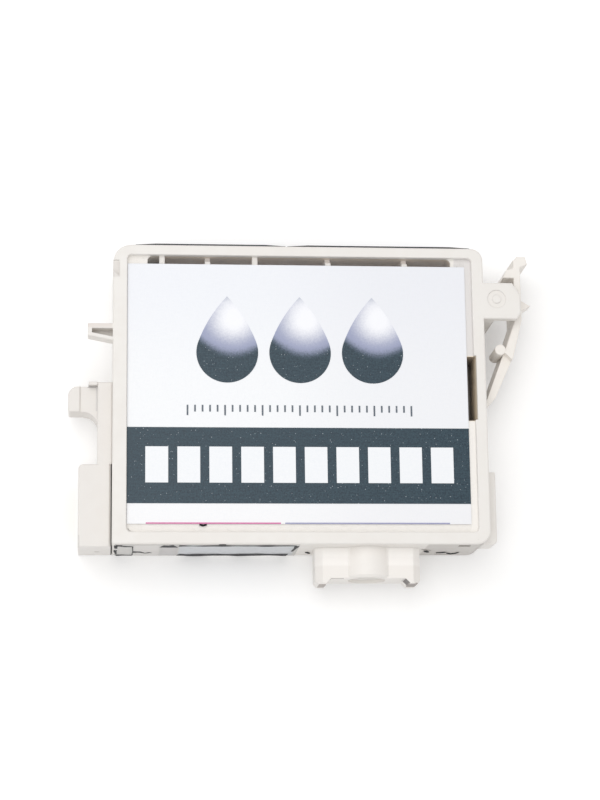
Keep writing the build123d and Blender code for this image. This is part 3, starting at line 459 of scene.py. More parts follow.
ROUND_EDGES = Effect(
    "round_edges", (("Radius", "Float", 0.00015),), (("Normal", "Vector"), ("Wear", "Float")), wire_round_edges)
MOULDED_SKIN = Effect(
    "moulded_skin",
    (("Place", "Vector", (0, 0, 0)), ("Tint", "Color", rgb(1, 1, 1)), ("Shade", "Color", rgb(1, 1, 1)),
     ("Mottle", "Float", 0.5)),
    (("Color", "Color"), ("Gloss", "Float"), ("Height", "Float")), wire_moulded_skin)
DUST = Effect(
    "dust", (("Place", "Vector", (0, 0, 0)), ("Amount", "Float", 0.05)), (("Mask", "Float"),), wire_dust)
BOX_MASK = Effect(
    "box_mask",
    (("Place", "Vector", (0, 0, 0)), ("Low", "Vector", (0, 0, 0)), ("High", "Vector", (1, 1, 1)),
     ("Soft", "Float", 0.1)),
    (("Mask", "Float"),), wire_box_mask)
PRINT_GRAIN = Effect(
    "print_grain",
    (("Place", "Vector", (0, 0, 0)), ("Ink", "Color", rgb(0, 0, 0)), ("Thin", "Color", rgb(0, 0, 0)),
     ("Paper", "Color", rgb(1, 1, 1)), ("Missing", "Float", 0.02)),
    (("Color", "Color"), ("Height", "Float")), wire_print_grain)
PAPER_FIBRE = Effect(
    "paper_fibre", (("Place", "Vector", (0, 0, 0)),),
    (("Shade", "Float"), ("Height", "Float")), wire_paper_fibre)


class Finish(ABC):
    """A procedural finish that makes one material."""

    name: str

    def material(self) -> bpy.types.Material:
        """Finds the finish's material, or makes it the first time.

        Returns:
            The material.
        """
        found = bpy.data.materials.get(self.name)
        if found:
            return found
        material = bpy.data.materials.new(self.name)
        material.use_nodes = True
        material.node_tree.nodes.clear()
        bench = Bench(material.node_tree)
        shader = bench.add("ShaderNodeBsdfPrincipled")
        output = bench.add("ShaderNodeOutputMaterial")
        bench.feed(output.inputs["Surface"], shader.outputs[0])
        self.dress(bench, shader.inputs)
        return material

    @abstractmethod
    def dress(self, bench: Bench, shader: bpy.types.NodeInputs) -> None:
        """Wires the finish into the shader's inputs.

        Args:
            bench: the material's bench.
            shader: the shader's inputs.
        """


@dataclass(frozen=True)
class StainAndShade:
    """A box in millimetres where the surface takes two tints, one at its front and one deeper: in most boxes
    these are painted shade and painted light, in a few a real stain.
    """

    low: Place
    high: Place
    front: Colour
    deep: Colour
    soft: float = 0.12
    fade: float = 3.2


@dataclass(frozen=True)
class MouldedPlastic(Finish):
    """Satin moulded plastic with soft clouds, edges lightened by wear and a painted highlight, dust, stains,
    and boxes of painted shade and painted light.
    """

    name: str
    tint: Colour
    shade: Colour
    mottle: float = 0.5
    roughness: float = 0.42
    grain: float = 0.35
    stains_and_shades: tuple[StainAndShade, ...] = ()
    blotch: float = 0.9
    edge_radius: float = 0.14
    wear_and_highlight: float = 0.3
    worn_and_lit_tint: Colour = rgb(0.95, 0.94, 0.92)
    dust: float = 0.035
    dust_cover: float = 0.35
    dust_tint: Colour = rgb(0.5, 0.47, 0.43)

    def stained_and_shaded(self, bench: Bench, place: Socket, colour: Socket, tint_box: StainAndShade) -> Socket:
        """Lays one box of tint over a colour, for painted shade, painted light or a stain.

        Args:
            bench: the material's bench.
            place: object coordinates in millimetres.
            colour: the colour under the box.
            tint_box: the box and its tints.

        Returns:
            The colour with the box's tints laid on.
        """
        mask = BOX_MASK.place(bench, Place=place, Low=tint_box.low, High=tint_box.high, Soft=tint_box.soft)["Mask"]
        _, _, z = bench.parts(place)
        clouds = bench.noise(place, 0.5, detail=4.0, rough=0.65)
        blotch = bench.span(clouds, 0.35, 0.65, -self.blotch, self.blotch)
        depth = bench.span(bench.plus(z, blotch), tint_box.high[2] - tint_box.fade, tint_box.high[2])
        return bench.mix(mask, colour, bench.mix(depth, tint_box.deep, tint_box.front))

    def dress(self, bench: Bench, shader: bpy.types.NodeInputs) -> None:
        """Wires clouds, boxes of painted shade and painted light, stains, dust, grain and edges lightened by
        wear and a painted highlight into the shader.

        Args:
            bench: the material's bench.
            shader: the shader's inputs.
        """
        place = bench.millimetres()
        edges = ROUND_EDGES.place(bench, Radius=self.edge_radius * MM)
        skin = MOULDED_SKIN.place(bench, Place=place, Tint=self.tint, Shade=self.shade, Mottle=self.mottle)
        worn_and_lit = bench.times(edges["Wear"], self.wear_and_highlight)
        # Edges turn towards a pale tint: wear and a painted highlight.
        colour = bench.mix(worn_and_lit, skin["Color"], self.worn_and_lit_tint)
        for tint_box in self.stains_and_shades:
            colour = self.stained_and_shaded(bench, place, colour, tint_box)
        dust = DUST.place(bench, Place=place, Amount=self.dust)["Mask"]
        colour = bench.mix(bench.times(dust, self.dust_cover), colour, self.dust_tint)
        bench.surface(shader, colour, bench.plus(skin["Gloss"], self.roughness, clamp=True),
                      bench.bump(skin["Height"], self.grain, edges["Normal"]))


@dataclass(frozen=True)
class ClearFilm(Finish):
    """Thin heat-sealed film that shows what is under it, slightly wavy and dusty."""

    name: str
    tint: Colour
    veil: float
    roughness: float = 0.12
    fields: tuple[StainAndShade, ...] = ()
    haze: float = 0.03
    dust: float = 0.06
    dust_cover: float = 0.4
    dust_tint: Colour = rgb(0.7, 0.68, 0.64)
    waviness: float = 9.0

    def dress(self, bench: Bench, shader: bpy.types.NodeInputs) -> None:
        """Wires the waves, dust and varying veil into the shader.

        Args:
            bench: the material's bench.
            shader: the shader's inputs.
        """
        place = bench.millimetres()
        wave = bench.noise(place, 0.25, detail=2.0, rough=0.45)
        thickest = self.veil + self.haze
        haze = bench.span(bench.noise(place, 0.9, detail=4.0, rough=0.6), 0.4, 0.75, self.veil, thickest)
        dust = DUST.place(bench, Place=place, Amount=self.dust)["Mask"]
        colour: object = self.tint
        for field in self.fields:
            mask = BOX_MASK.place(bench, Place=place, Low=field.low, High=field.high, Soft=field.soft)["Mask"]
            uneven = bench.mix(bench.span(haze, self.veil, thickest), field.front, field.deep)
            colour = bench.mix(mask, colour, uneven)
        bench.feed(shader["Alpha"], bench.plus(haze, bench.times(dust, self.dust_cover), clamp=True))
        bench.surface(shader, bench.mix(dust, colour, self.dust_tint),
                      bench.span(wave, 0.3, 0.7, self.roughness, self.roughness + 0.1),
                      bench.bump(bench.times(wave, self.waviness), 0.5))


@dataclass(frozen=True)
class LabelPaper(Finish):
    """Coated label paper with a tint that cools towards its top edge and greys to the right."""

    name: str
    top: Colour
    middle: Colour
    low: Colour
    heights: Place = (-22.0, -2.0, 20.0)
    side: Colour = rgb(0.79, 0.79, 0.84)
    side_start: float = -8.0
    side_end: float = 16.0
    side_share: float = 0.3
    speck: Colour = rgb(0.84, 0.87, 0.95)
    speck_share: float = 0.35
    fibre: Colour = rgb(0.7, 0.71, 0.75)
    fibre_share: float = 0.08

    def dress(self, bench: Bench, shader: bpy.types.NodeInputs) -> None:
        """Wires the cooling tint, fibres and specks into the shader.

        Args:
            bench: the material's bench.
            shader: the shader's inputs.
        """
        place = bench.millimetres()
        x, y, _ = bench.parts(place)
        low, middle, top = self.heights
        colour = bench.mix(bench.span(y, low, middle), self.low, self.middle)
        colour = bench.mix(bench.span(y, middle, top), colour, self.top)
        beside = bench.span(x, self.side_start, self.side_end, 0.0, self.side_share)
        colour = bench.mix(beside, colour, self.side)
        fibre = PAPER_FIBRE.place(bench, Place=place)
        spots = bench.noise(place, 3.5, detail=3.0, rough=0.7)
        bluish = bench.span(spots, 0.5, 0.75, 0.0, self.speck_share)
        colour = bench.mix(bluish, colour, self.speck)
        colour = bench.mix(bench.times(fibre["Shade"], self.fibre_share), colour, self.fibre)
        bench.surface(shader, colour, bench.span(spots, 0.3, 0.7, 0.34, 0.46), bench.bump(fibre["Height"], 0.3))


@dataclass(frozen=True)
class PrintedInk(Finish):
    """A printed field with uneven lines and small missing dots."""

    name: str
    ink: Colour
    thin: Colour
    missing: float
    paper: Colour = rgb(0.8, 0.85, 0.9)

    def tone(self, bench: Bench, place: Socket) -> Sockets:
        """Places the print grain with this finish's inks."""
        return PRINT_GRAIN.place(bench, Place=place, Ink=self.ink, Thin=self.thin, Paper=self.paper,
                                 Missing=self.missing)

    def dress(self, bench: Bench, shader: bpy.types.NodeInputs) -> None:
        """Wires the broken print into the shader.

        Args:
            bench: the material's bench.
            shader: the shader's inputs.
        """
        grain = self.tone(bench, bench.millimetres())
        bench.surface(shader, grain["Color"], bench.span(grain["Height"], 0.3, 0.7, 0.3, 0.42),
                      bench.bump(grain["Height"], 0.3))


@dataclass(frozen=True)
class DropInk(PrintedInk):
    """The printed drops, all alike: a pale crown with a soft light spot over a dark bowl, in millimetres."""

    pitch: float = 12.1
    centre: float = 6.95
    crown: Colour = rgb(0.95, 0.955, 0.99)
    middle: Colour = rgb(0.335, 0.365, 0.52)
    side: Colour = rgb(0.19, 0.235, 0.345)
    light_right: float = 1.1
    light_up: float = 5.5
    light_width: float = 0.7
    light_reach: Place = (0.7, 4.0, 5.4)
    light_speckle: float = 0.2
    bowl_curve: float = 0.165
    bowl_top: float = 0.9
    bowl_full: float = -1.2
    bowl_speckle: float = 0.3
    tip_start: float = 8.4
    tip_end: float = 9.6
    tip_tint: Colour = rgb(0.5, 0.54, 0.6)
    tip_share: float = 0.5

    def dress(self, bench: Bench, shader: bpy.types.NodeInputs) -> None:
        """Wires the crown, its light spot, the soft horizon and the dark bowl into the shader.

        Args:
            bench: the material's bench.
            shader: the shader's inputs.
        """
        place = bench.millimetres()
        x, y, _ = bench.parts(place)
        # Two pitches more keep the modulo's input positive, and half a pitch sets each drop in a cell's middle.
        turned = bench.plus(x, self.pitch * 2.5)
        local_x = bench.minus(bench.maths("MODULO", turned, self.pitch), self.pitch / 2)
        local_y = bench.minus(y, self.centre)
        off_x = bench.times(bench.minus(local_x, self.light_right), self.light_width)
        off_y = bench.minus(local_y, self.light_up)
        off_y = bench.times(off_y, bench.span(off_y, -1.0, 1.5, 0.8, 0.5))
        square_x = bench.times(off_x, off_x)
        reach = bench.maths("SQRT", bench.plus(square_x, bench.times(off_y, off_y)))
        speckle = bench.noise(place, 4.0, detail=3.0, rough=0.8)
        broken = bench.span(speckle, 0.3, 0.7, -self.light_speckle, self.light_speckle)
        reach = bench.plus(reach, broken)
        near, middle, far = self.light_reach
        colour = bench.mix(bench.span(reach, near, middle), self.crown, self.middle)
        colour = bench.mix(bench.span(reach, middle, far), colour, self.side)
        height = bench.minus(local_y, bench.times(square_x, self.bowl_curve))
        uneven = bench.span(speckle, 0.3, 0.7, -self.bowl_speckle, self.bowl_speckle)
        horizon = bench.plus(height, uneven)
        dark = self.tone(bench, place)
        colour = bench.mix(bench.span(horizon, self.bowl_top, self.bowl_full), colour, dark["Color"])
        tip = bench.times(bench.span(local_y, self.tip_start, self.tip_end), self.tip_share)
        bench.surface(shader, bench.mix(tip, colour, self.tip_tint), bench.span(speckle, 0.3, 0.7, 0.32, 0.42),
                      bench.bump(dark["Height"], 0.3))


@dataclass(frozen=True)
class SmallPartFinish(Finish):
    """The finish of a small part: two tints in clouds, a grain and a gloss."""

    name: str
    tint: Colour
    shade: Colour
    roughness: float
    metallic: float = 0.0
    cloud: float = 0.8
    grain: float = 12.0
    relief: float = 0.3
    edge_radius: float = 0.08
    wear_and_highlight: float = 0.25

    def dress(self, bench: Bench, shader: bpy.types.NodeInputs) -> None:
        """Wires the clouds, grain and rounded edges into the shader.

        Args:
            bench: the material's bench.
            shader: the shader's inputs.
        """
        place = bench.millimetres()
        cloud = bench.noise(place, self.cloud, detail=3.0, rough=0.6)
        grain = bench.noise(place, self.grain, detail=2.0, rough=0.6)
        edges = ROUND_EDGES.place(bench, Radius=self.edge_radius * MM)
        colour = bench.mix(bench.span(cloud, 0.35, 0.65), self.tint, self.shade)
        shader["Metallic"].default_value = self.metallic
        worn_and_lit = bench.times(edges["Wear"], self.wear_and_highlight)
        # Edges keep the lighter base tint: wear and a painted highlight.
        bench.surface(shader, bench.mix(worn_and_lit, colour, self.tint),
                      bench.span(grain, 0.3, 0.7, self.roughness - 0.05, self.roughness + 0.08),
                      bench.bump(grain, self.relief, edges["Normal"]))


@dataclass(frozen=True)
class InkTrace(Finish):
    """Dried ink in the edge of a channel: black where thick and slate where thin."""

    name: str
    thick: Colour = rgb(0.008, 0.008, 0.01)
    thin: Colour = rgb(0.03, 0.034, 0.042)
    specular: float = 0.15
    relief: float = 5.0

    def dress(self, bench: Bench, shader: bpy.types.NodeInputs) -> None:
        """Wires the uneven ink into the shader.

        Args:
            bench: the material's bench.
            shader: the shader's inputs.
        """
        place = bench.millimetres()
        flow = bench.noise(place, 1.4, detail=4.0, rough=0.7)
        shader["Specular IOR Level"].default_value = self.specular
        bench.surface(shader, bench.mix(bench.span(flow, 0.45, 0.7), self.thick, self.thin),
                      bench.span(flow, 0.3, 0.7, 0.4, 0.6), bench.bump(bench.times(flow, self.relief), 0.6))


@dataclass(frozen=True)
class TableFinish:
    """The white table under the cartridge, lifted to pure white for the camera away from its shadow."""

    name: str = "white_table"
    colour: Colour = rgb(0.86, 0.855, 0.85)
    weave_tint: Colour = rgb(0.87, 0.865, 0.86)
    lift: float = 0.2
    far_lift: float = 0.5
    clear: float = 30.0
    bright_side: float = 0.11
    shade_lean: Place = (8.0, -3.0, 0.0)
    shade_half: Place = (38.0, CASE_H / 2, 0.0)
    behind_start: float = CASE_H / 2 - 4.0
    behind_end: float = CASE_H / 2 + 3.0

    def material(self) -> bpy.types.Material:
        """Makes the table's material.

        Returns:
            The material.
        """
        material = bpy.data.materials.new(self.name)
        material.use_nodes = True
        material.node_tree.nodes.clear()
        bench = Bench(material.node_tree)
        place = bench.millimetres()
        weave = bench.noise(place, 0.02, detail=3.0, rough=0.5)
        diffuse = bench.add("ShaderNodeBsdfDiffuse")
        colour = bench.mix(bench.span(weave, 0.3, 0.7), self.colour, self.weave_tint)
        bench.feed(diffuse.inputs["Color"], colour)
        glow = bench.add("ShaderNodeEmission")
        # The glow for the camera grows with distance from a box set right and down of the case, so the table
        # stays darker near it: a painted shadow.
        leaning = bench.vector("SUBTRACT", place, self.shade_lean).outputs[0]
        beside = bench.vector("SUBTRACT", bench.vector("ABSOLUTE", leaning).outputs[0], self.shade_half)
        outside = bench.vector("MAXIMUM", beside.outputs[0]).outputs[0]
        distance = bench.vector("LENGTH", outside).outputs["Value"]
        lifted = bench.span(distance, 0.0, self.clear, self.lift, self.far_lift)
        # A strip behind the case's top gets more glow: painted light that takes out the shadow there.
        behind = bench.span(bench.parts(place)[1], self.behind_start, self.behind_end, 0.0, self.bright_side)
        bench.feed(glow.inputs["Strength"], bench.plus(lifted, behind))
        rays = bench.add("ShaderNodeLightPath").outputs
        seen = bench.plus(rays["Is Camera Ray"], rays["Is Glossy Ray"])
        seen = bench.plus(seen, rays["Is Transmission Ray"], clamp=True)
        dark = bench.add("ShaderNodeEmission")
        dark.inputs["Strength"].default_value = 0.0
        total = bench.add("ShaderNodeAddShader")
        bench.feed(total.inputs[0], diffuse.outputs[0])
        bench.feed(total.inputs[1], bench.choose(seen, dark, glow))
        bench.feed(bench.add("ShaderNodeOutputMaterial").inputs["Surface"], total.outputs[0])
        return material


@dataclass
class Maker(ABC):
    """A sub-assembly that dresses its nodes, the CAD nodes by name, and may add pieces of its own."""

    nodes: dict[str, bpy.types.Object]

    def coat(self, node: str, finish: Finish) -> None:
        """Gives a CAD node its finish.

        Args:
            node: the node's name.
            finish: its finish.
        """
        piece = self.nodes[node]
        if not piece.material_slots:
            piece.data.materials.append(None)
        for slot in piece.material_slots:
            slot.material = finish.material()
        LOG.info("dressed %s in %s", node, finish.name)

    def add(self, name: str, mesh: bmesh.types.BMesh, finish: Finish, body: Body, slot: str,
            smooth: bool = True) -> bpy.types.Object:
        """Makes a new piece from a mesh that is already in place.

        Args:
            name: the piece's name.
            mesh: the finished mesh, in metres in the model's frame.
            finish: the piece's finish.
            body: the body that it rides on.
            slot: the record's material slot; not used.
            smooth: shades the faces smoothly.

        Returns:
            The new object.
        """
        data = bpy.data.meshes.new(name)
        for face in mesh.faces:
            face.smooth = smooth
        mesh.to_mesh(data)
        mesh.free()
        piece = bpy.data.objects.new(name, data)
        bpy.context.scene.collection.objects.link(piece)
        data.materials.append(finish.material())
        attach(piece, body.value)
        LOG.info("made %s with %d faces", name, len(data.polygons))
        return piece

    def coat_small(self, *parts: tuple[str, str, Colour, Colour, float, dict[str, float]]) -> None:
        """Gives small CAD nodes their finishes: node, name, two tints, roughness and further settings."""
        for node, name, tint, shade, roughness, settings in parts:
            self.coat(node, SmallPartFinish(name, tint, shade, roughness, **settings))

    @abstractmethod
    def build(self) -> None:
        """Dresses and builds the whole sub-assembly."""


PALE = rgb(0.868, 0.84, 0.803)
PALE_SHADE = rgb(0.835, 0.795, 0.75)
# Painted warm shade in the pockets, at their front and deeper in.
POCKET_FRONT = rgb(0.92, 0.79, 0.66)
POCKET_DEEP = rgb(0.95, 0.85, 0.78)
# The first cell's tints: warm at its front, near black deeper in.
FIRST_CELL_FRONT = rgb(0.85, 0.76, 0.66)
FIRST_CELL_DEEP = rgb(0.035, 0.042, 0.045)
# Painted shade in the side slot: warm at its front, dark deeper in.
SLOT_FRONT = rgb(0.95, 0.85, 0.7)
SLOT_DEEP = rgb(0.34, 0.31, 0.28)
# Dirt and painted shade on the bottom side's right end.
GRIME_AND_SHADE = rgb(0.47, 0.44, 0.41)
# Painted shade in the gap between the case and the chip carrier.
GAP_DARK = rgb(0.07, 0.055, 0.05)
# Painted shade on the feet of the port block: darker deep in, lighter at the front.
FOOT_DARK = rgb(0.24, 0.2, 0.18)
FOOT_SHADE = rgb(0.42, 0.37, 0.34)
# Dark tint for the marks on the bottom side and for the painted shade under the slot's top wall.
DARK_MARK_AND_SHADE = rgb(0.2, 0.18, 0.16)
SPRING_WIRE = SmallPartFinish("spring_wire", rgb(0.6, 0.6, 0.58), rgb(0.5, 0.5, 0.49), 0.3, metallic=1.0)


def box_stain_and_shade(left: float, right: float, low: float, high: float, back: float, front: float,
              front_tint: Colour, deep_tint: Colour, soft: float = 0.12, fade: float = 3.2) -> StainAndShade:
    """Makes a box of two tints, for painted shade, painted light or a stain, given in millimetres from the
    case's left, bottom and back.

    Args:
        left: where the box begins, from the case's left.
        right: where it ends, from the case's left.
        low: where it begins, from the case's bottom.
        high: where it ends, from the case's bottom.
        back: where it begins, from the case's back.
        front: where it ends, from the case's back.
        front_tint: the tint at its front.
        deep_tint: the tint deeper down.
        soft: width of its soft edge.
        fade: depth over which the front tint turns into the deep one.

    Returns:
        The box of tints.
    """
    return StainAndShade((left - CASE_W / 2, low - CASE_H / 2, back), (right - CASE_W / 2, high - CASE_H / 2, front),
                 front_tint, deep_tint, soft, fade)


def even_stain_and_shade(left: float, right: float, low: float, high: float, back: float, front: float,
               tint: Colour, soft: float) -> StainAndShade:
    """A box of one tint, for painted shade, painted light or a stain, with the same measures as
    box_stain_and_shade.
    """
    return box_stain_and_shade(left, right, low, high, back, front, tint, tint, soft)


@dataclass(frozen=True)
class InkRun:
    """One run of dried ink: its points on the bottom side or the front, its width and depth, in millimetres."""

    points: tuple[tuple[float, float], ...]
    width: float
    wobble: float = 0.3
    depth: float = 0.16
    in_front: bool = False

    def at(self, point: Vector) -> Vector:
        """Finds the place of a point, just clear of the film or label.

        Args:
            point: the point, from the case's left and from its back, or from its bottom for a run in front.

        Returns:
            The place in metres.
        """
        if self.in_front:
            return spot(point.x, point.y, LABEL_FACE)
        return spot(point.x, BOTTOM_FILM_FACE, point.y)


@dataclass
class Tank(Maker):
    """The case moulding with its ribs, films and the ink dried in its channels."""

    # Painted light: the recess floor under the film is brighter than the plastic, against the rim's shade.
    recess_floor: StainAndShade = box_stain_and_shade(0.8, 61.2, 0.8, 49.6, 11.6, 12.05, rgb(0.935, 0.905, 0.865),
                                    rgb(0.92, 0.89, 0.85), 0.1)
    # Painted shade on the recess floor beside the label's right edge.
    right_floor: StainAndShade = box_stain_and_shade(57.2, 61.2, 31.9, 48.9, 11.6, 12.05, rgb(0.79, 0.765, 0.75),
                                   rgb(0.78, 0.75, 0.73), 0.15)
    # Painted warm shade on the pocket walls under the film.
    rows: StainAndShade = box_stain_and_shade(5.5, 56.8, 5.4, 48.75, 4.6, 11.62, POCKET_FRONT, POCKET_DEEP)
    # The first cell turns from a warm tint at its front to near black deeper in.
    first_cell: StainAndShade = box_stain_and_shade(5.5, 8.4, 40.0, 48.75, 4.6, 11.62, FIRST_CELL_FRONT, FIRST_CELL_DEEP, fade=8.5)
    # Painted shade in the side slot, darker deeper in.
    side_slot: StainAndShade = box_stain_and_shade(58.83, 60.55, 20.74, 31.88, 4.6, 12.2, SLOT_FRONT, SLOT_DEEP, fade=8.0)
    # Painted shade under the side slot's top wall.
    slot_top: StainAndShade = box_stain_and_shade(58.83, 60.55, 31.7, 32.1, 4.6, 11.7, rgb(0.5, 0.43, 0.36), DARK_MARK_AND_SHADE, 0.1, 6.0)
    marks: StainAndShade = even_stain_and_shade(50.0, 59.5, 0.03, 0.5, 1.0, 11.6, DARK_MARK_AND_SHADE, 0.04)
    # Dirt and painted shade that darken the bottom side at its right end.
    grimy_and_shaded: StainAndShade = even_stain_and_shade(51.8, 61.2, -0.1, 1.5, -0.1, 12.3, GRIME_AND_SHADE, 0.6)
    # Painted light: the port block is brightened against the shade that the case casts on it.
    port_pale: StainAndShade = box_stain_and_shade(29.0, 54.0, -12.0, -0.3, -1.0, 13.5, rgb(0.92, 0.888, 0.85),
                                 rgb(0.9, 0.865, 0.825), 0.4)
    # More painted light on the port block's upper part, nearest the case.
    port_upper: StainAndShade = even_stain_and_shade(33.2, 50.9, -3.0, -0.2, -1.0, 9.4, rgb(0.955, 0.925, 0.89), 0.4)
    port_top: StainAndShade = even_stain_and_shade(33.2, 50.9, -1.5, -0.2, -1.0, 9.4, rgb(0.985, 0.96, 0.925), 0.4)
    # Painted shade: the wedge on the left is darker and warmer than the rest of the case.
    wedge_tone: StainAndShade = box_stain_and_shade(-8.0, -0.1, 36.0, 46.0, -1.0, 13.5, rgb(0.805, 0.745, 0.7),
                                  rgb(0.79, 0.73, 0.685), 0.3)
    # Painted shade on the small facet at the rim's top left corner.
    corner_facet: StainAndShade = even_stain_and_shade(-0.6, 1.15, 44.7, 47.4, 12.0, 13.2, rgb(0.77, 0.735, 0.7), 0.15)
    # Painted shade on the case's wall in the gap by the chip carrier.
    side_gap: StainAndShade = even_stain_and_shade(-0.3, 0.02, -0.3, 13.8, 0.6, 9.3, GAP_DARK, 0.04)
    # Painted shade on the inner slope of the right foot.
    foot_slope: StainAndShade = box_stain_and_shade(47.9, 48.9, -6.5, -5.17, 5.6, 9.05, rgb(0.1, 0.085, 0.08),
                                  rgb(0.12, 0.1, 0.095), 0.1)
    # Painted shade on the underside at the right foot's tip.
    foot_tip: StainAndShade = box_stain_and_shade(48.75, 50.4, -6.6, -5.8, 4.6, 8.75, FOOT_SHADE, FOOT_DARK, 0.12)
    # A painted shadow along the underside edge of the port's web.
    web_line: StainAndShade = even_stain_and_shade(35.6, 38.0, -5.4, -5.1, 8.78, 9.02, rgb(0.3, 0.28, 0.26), 0.05)
    # Painted shade on the underside at the left foot's end.
    foot_end: StainAndShade = even_stain_and_shade(34.0, 35.7, -6.2, -5.8, 3.9, 8.2, FOOT_SHADE, 0.15)
    # Painted shade on the ribs' sides inside the pockets.
    rib_sides: StainAndShade = box_stain_and_shade(5.5, 56.8, 5.4, 49.0, 4.6, 11.5, rgb(0.74, 0.71, 0.68), POCKET_DEEP)
    patch: StainAndShade = box_stain_and_shade(3.6, 7.8, -0.5, 0.5, 0.6, 11.3, rgb(0.98, 0.95, 0.92), rgb(0.95, 0.92, 0.89), 0.1)
    grey_cell: StainAndShade = box_stain_and_shade(8.0, 10.8, -0.5, 0.5, 1.2, 11.0, rgb(0.82, 0.79, 0.78),
                                 rgb(0.74, 0.72, 0.72), 0.1)
    window: StainAndShade = box_stain_and_shade(11.0, 30.0, -0.5, 0.5, 1.0, 12.0, rgb(0.88, 0.905, 0.94),
                              rgb(0.76, 0.78, 0.81), 0.1)
    # A run is drawn in steps of this many millimetres, and its width swings from step to step in two waves.
    run_step: float = 0.5
    slow_wave: float = 0.4
    quick_wave: float = 0.9
    quick_share: float = 0.5
    wave_start: float = 2.3
    shortest_edge: float = 0.001
    runs: tuple[InkRun, ...] = (
        InkRun(((0.6, 11.45), (1.1, 11.4), (1.7, 11.3)), 1.8, 0.2),
        InkRun(((1.7, 10.9), (2.5, 10.5), (3.4, 10.5)), 0.8, 0.25),
        InkRun(((0.7, 1.05), (1.8, 1.2), (3.4, 1.0)), 1.3),
        InkRun(((0.7, 11.2), (0.66, 9.8), (0.74, 8.4)), 0.4),
        InkRun(((0.72, 6.6), (0.58, 5.4), (0.66, 4.0), (0.74, 2.4)), 0.34),
        InkRun(((3.4, 10.6), (3.46, 6.0), (3.42, 1.2)), 0.14),
        InkRun(((3.45, 4.6), (4.6, 4.5), (5.5, 3.3), (6.5, 4.2)), 1.0, 0.4),
        InkRun(((8.1, 10.9), (9.2, 10.6), (10.4, 11.0)), 2.4, 0.25),
        InkRun(((10.9, 11.4), (14.0, 11.2), (17.0, 11.5), (24.0, 11.35), (30.1, 11.5)), 1.15, 0.4),
        InkRun(((11.0, 1.7), (13.0, 1.2), (17.0, 1.7), (21.0, 1.45), (25.0, 1.9), (29.3, 1.5)), 2.2, 0.2),
        InkRun(((30.2, 11.2), (30.05, 8.6), (29.8, 5.4)), 0.55),
        InkRun(((32.35, 4.0), (32.6, 3.4), (32.95, 2.7)), 0.4),
        InkRun(((52.1, 5.6), (52.4, 4.7), (52.75, 4.2)), 0.45),
        InkRun(((54.2, 3.5), (55.2, 3.8), (55.9, 4.4)), 0.22),
        InkRun(((56.1, 3.2), (56.8, 2.2), (57.5, 2.9), (58.0, 4.2)), 0.22),
        InkRun(((14.2, 3.27), (14.8, 3.12), (15.4, 3.27)), 0.22, in_front=True),
    )

    def ink_run(self, mesh: bmesh.types.BMesh, run: InkRun) -> None:
        """Adds one run of ink as a thin body against the outer edge of a channel.

        Args:
            mesh: the mesh that the run is added to.
            run: the run's points, width and depth.
        """
        steps = [Vector(point) for point in run.points]
        fine: list[Vector] = []
        for start, end in zip(steps, steps[1:]):
            count = max(2, int((end - start).length / self.run_step))
            fine += [start.lerp(end, index / count) for index in range(count)]
        fine.append(steps[-1])
        edge = None
        made: list[bmesh.types.BMFace] = []
        for index, here in enumerate(fine):
            before, after = fine[max(index - 1, 0)], fine[min(index + 1, len(fine) - 1)]
            along = (after - before).normalized()
            slow = math.sin(index * self.slow_wave + run.width * self.wave_start)
            quick = self.quick_share * math.sin(index * self.quick_wave + run.width)
            half = run.width / 2 * (1 + run.wobble * (slow + quick))
            across = Vector((-along.y, along.x)) * half
            ends = [run.at(point) for point in (here - across, here + across)]
            if edge is None:
                edge = mesh.edges.new([mesh.verts.new(end) for end in ends])
                continue
            grown = bmesh.ops.extrude_edge_only(mesh, edges=[edge])["geom"]
            corners = [item for item in grown if isinstance(item, bmesh.types.BMVert)]
            made += [item for item in grown if isinstance(item, bmesh.types.BMFace)]
            previous = [vert.co.copy() for vert in edge.verts]
            corners.sort(key=lambda vert: (vert.co - previous[0]).length)
            for corner, end in zip(corners, ends):
                corner.co = end
            edge = next(item for item in grown if isinstance(item, bmesh.types.BMEdge)
                        and set(item.verts) == set(corners))
        bmesh.ops.solidify(mesh, geom=made, thickness=run.depth * MM)

    def ink_traces(self) -> None:
        """Makes the dried ink in the cells of the bottom side and below the label."""
        mesh = bmesh.new()
        for run in self.runs:
            self.ink_run(mesh, run)
        bmesh.ops.dissolve_degenerate(mesh, dist=self.shortest_edge * MM, edges=mesh.edges[:])
        bmesh.ops.recalc_face_normals(mesh, faces=mesh.faces[:])
        self.add("ink_traces", mesh, InkTrace("dried_ink"), Body.CASE, "dark_film", smooth=False)

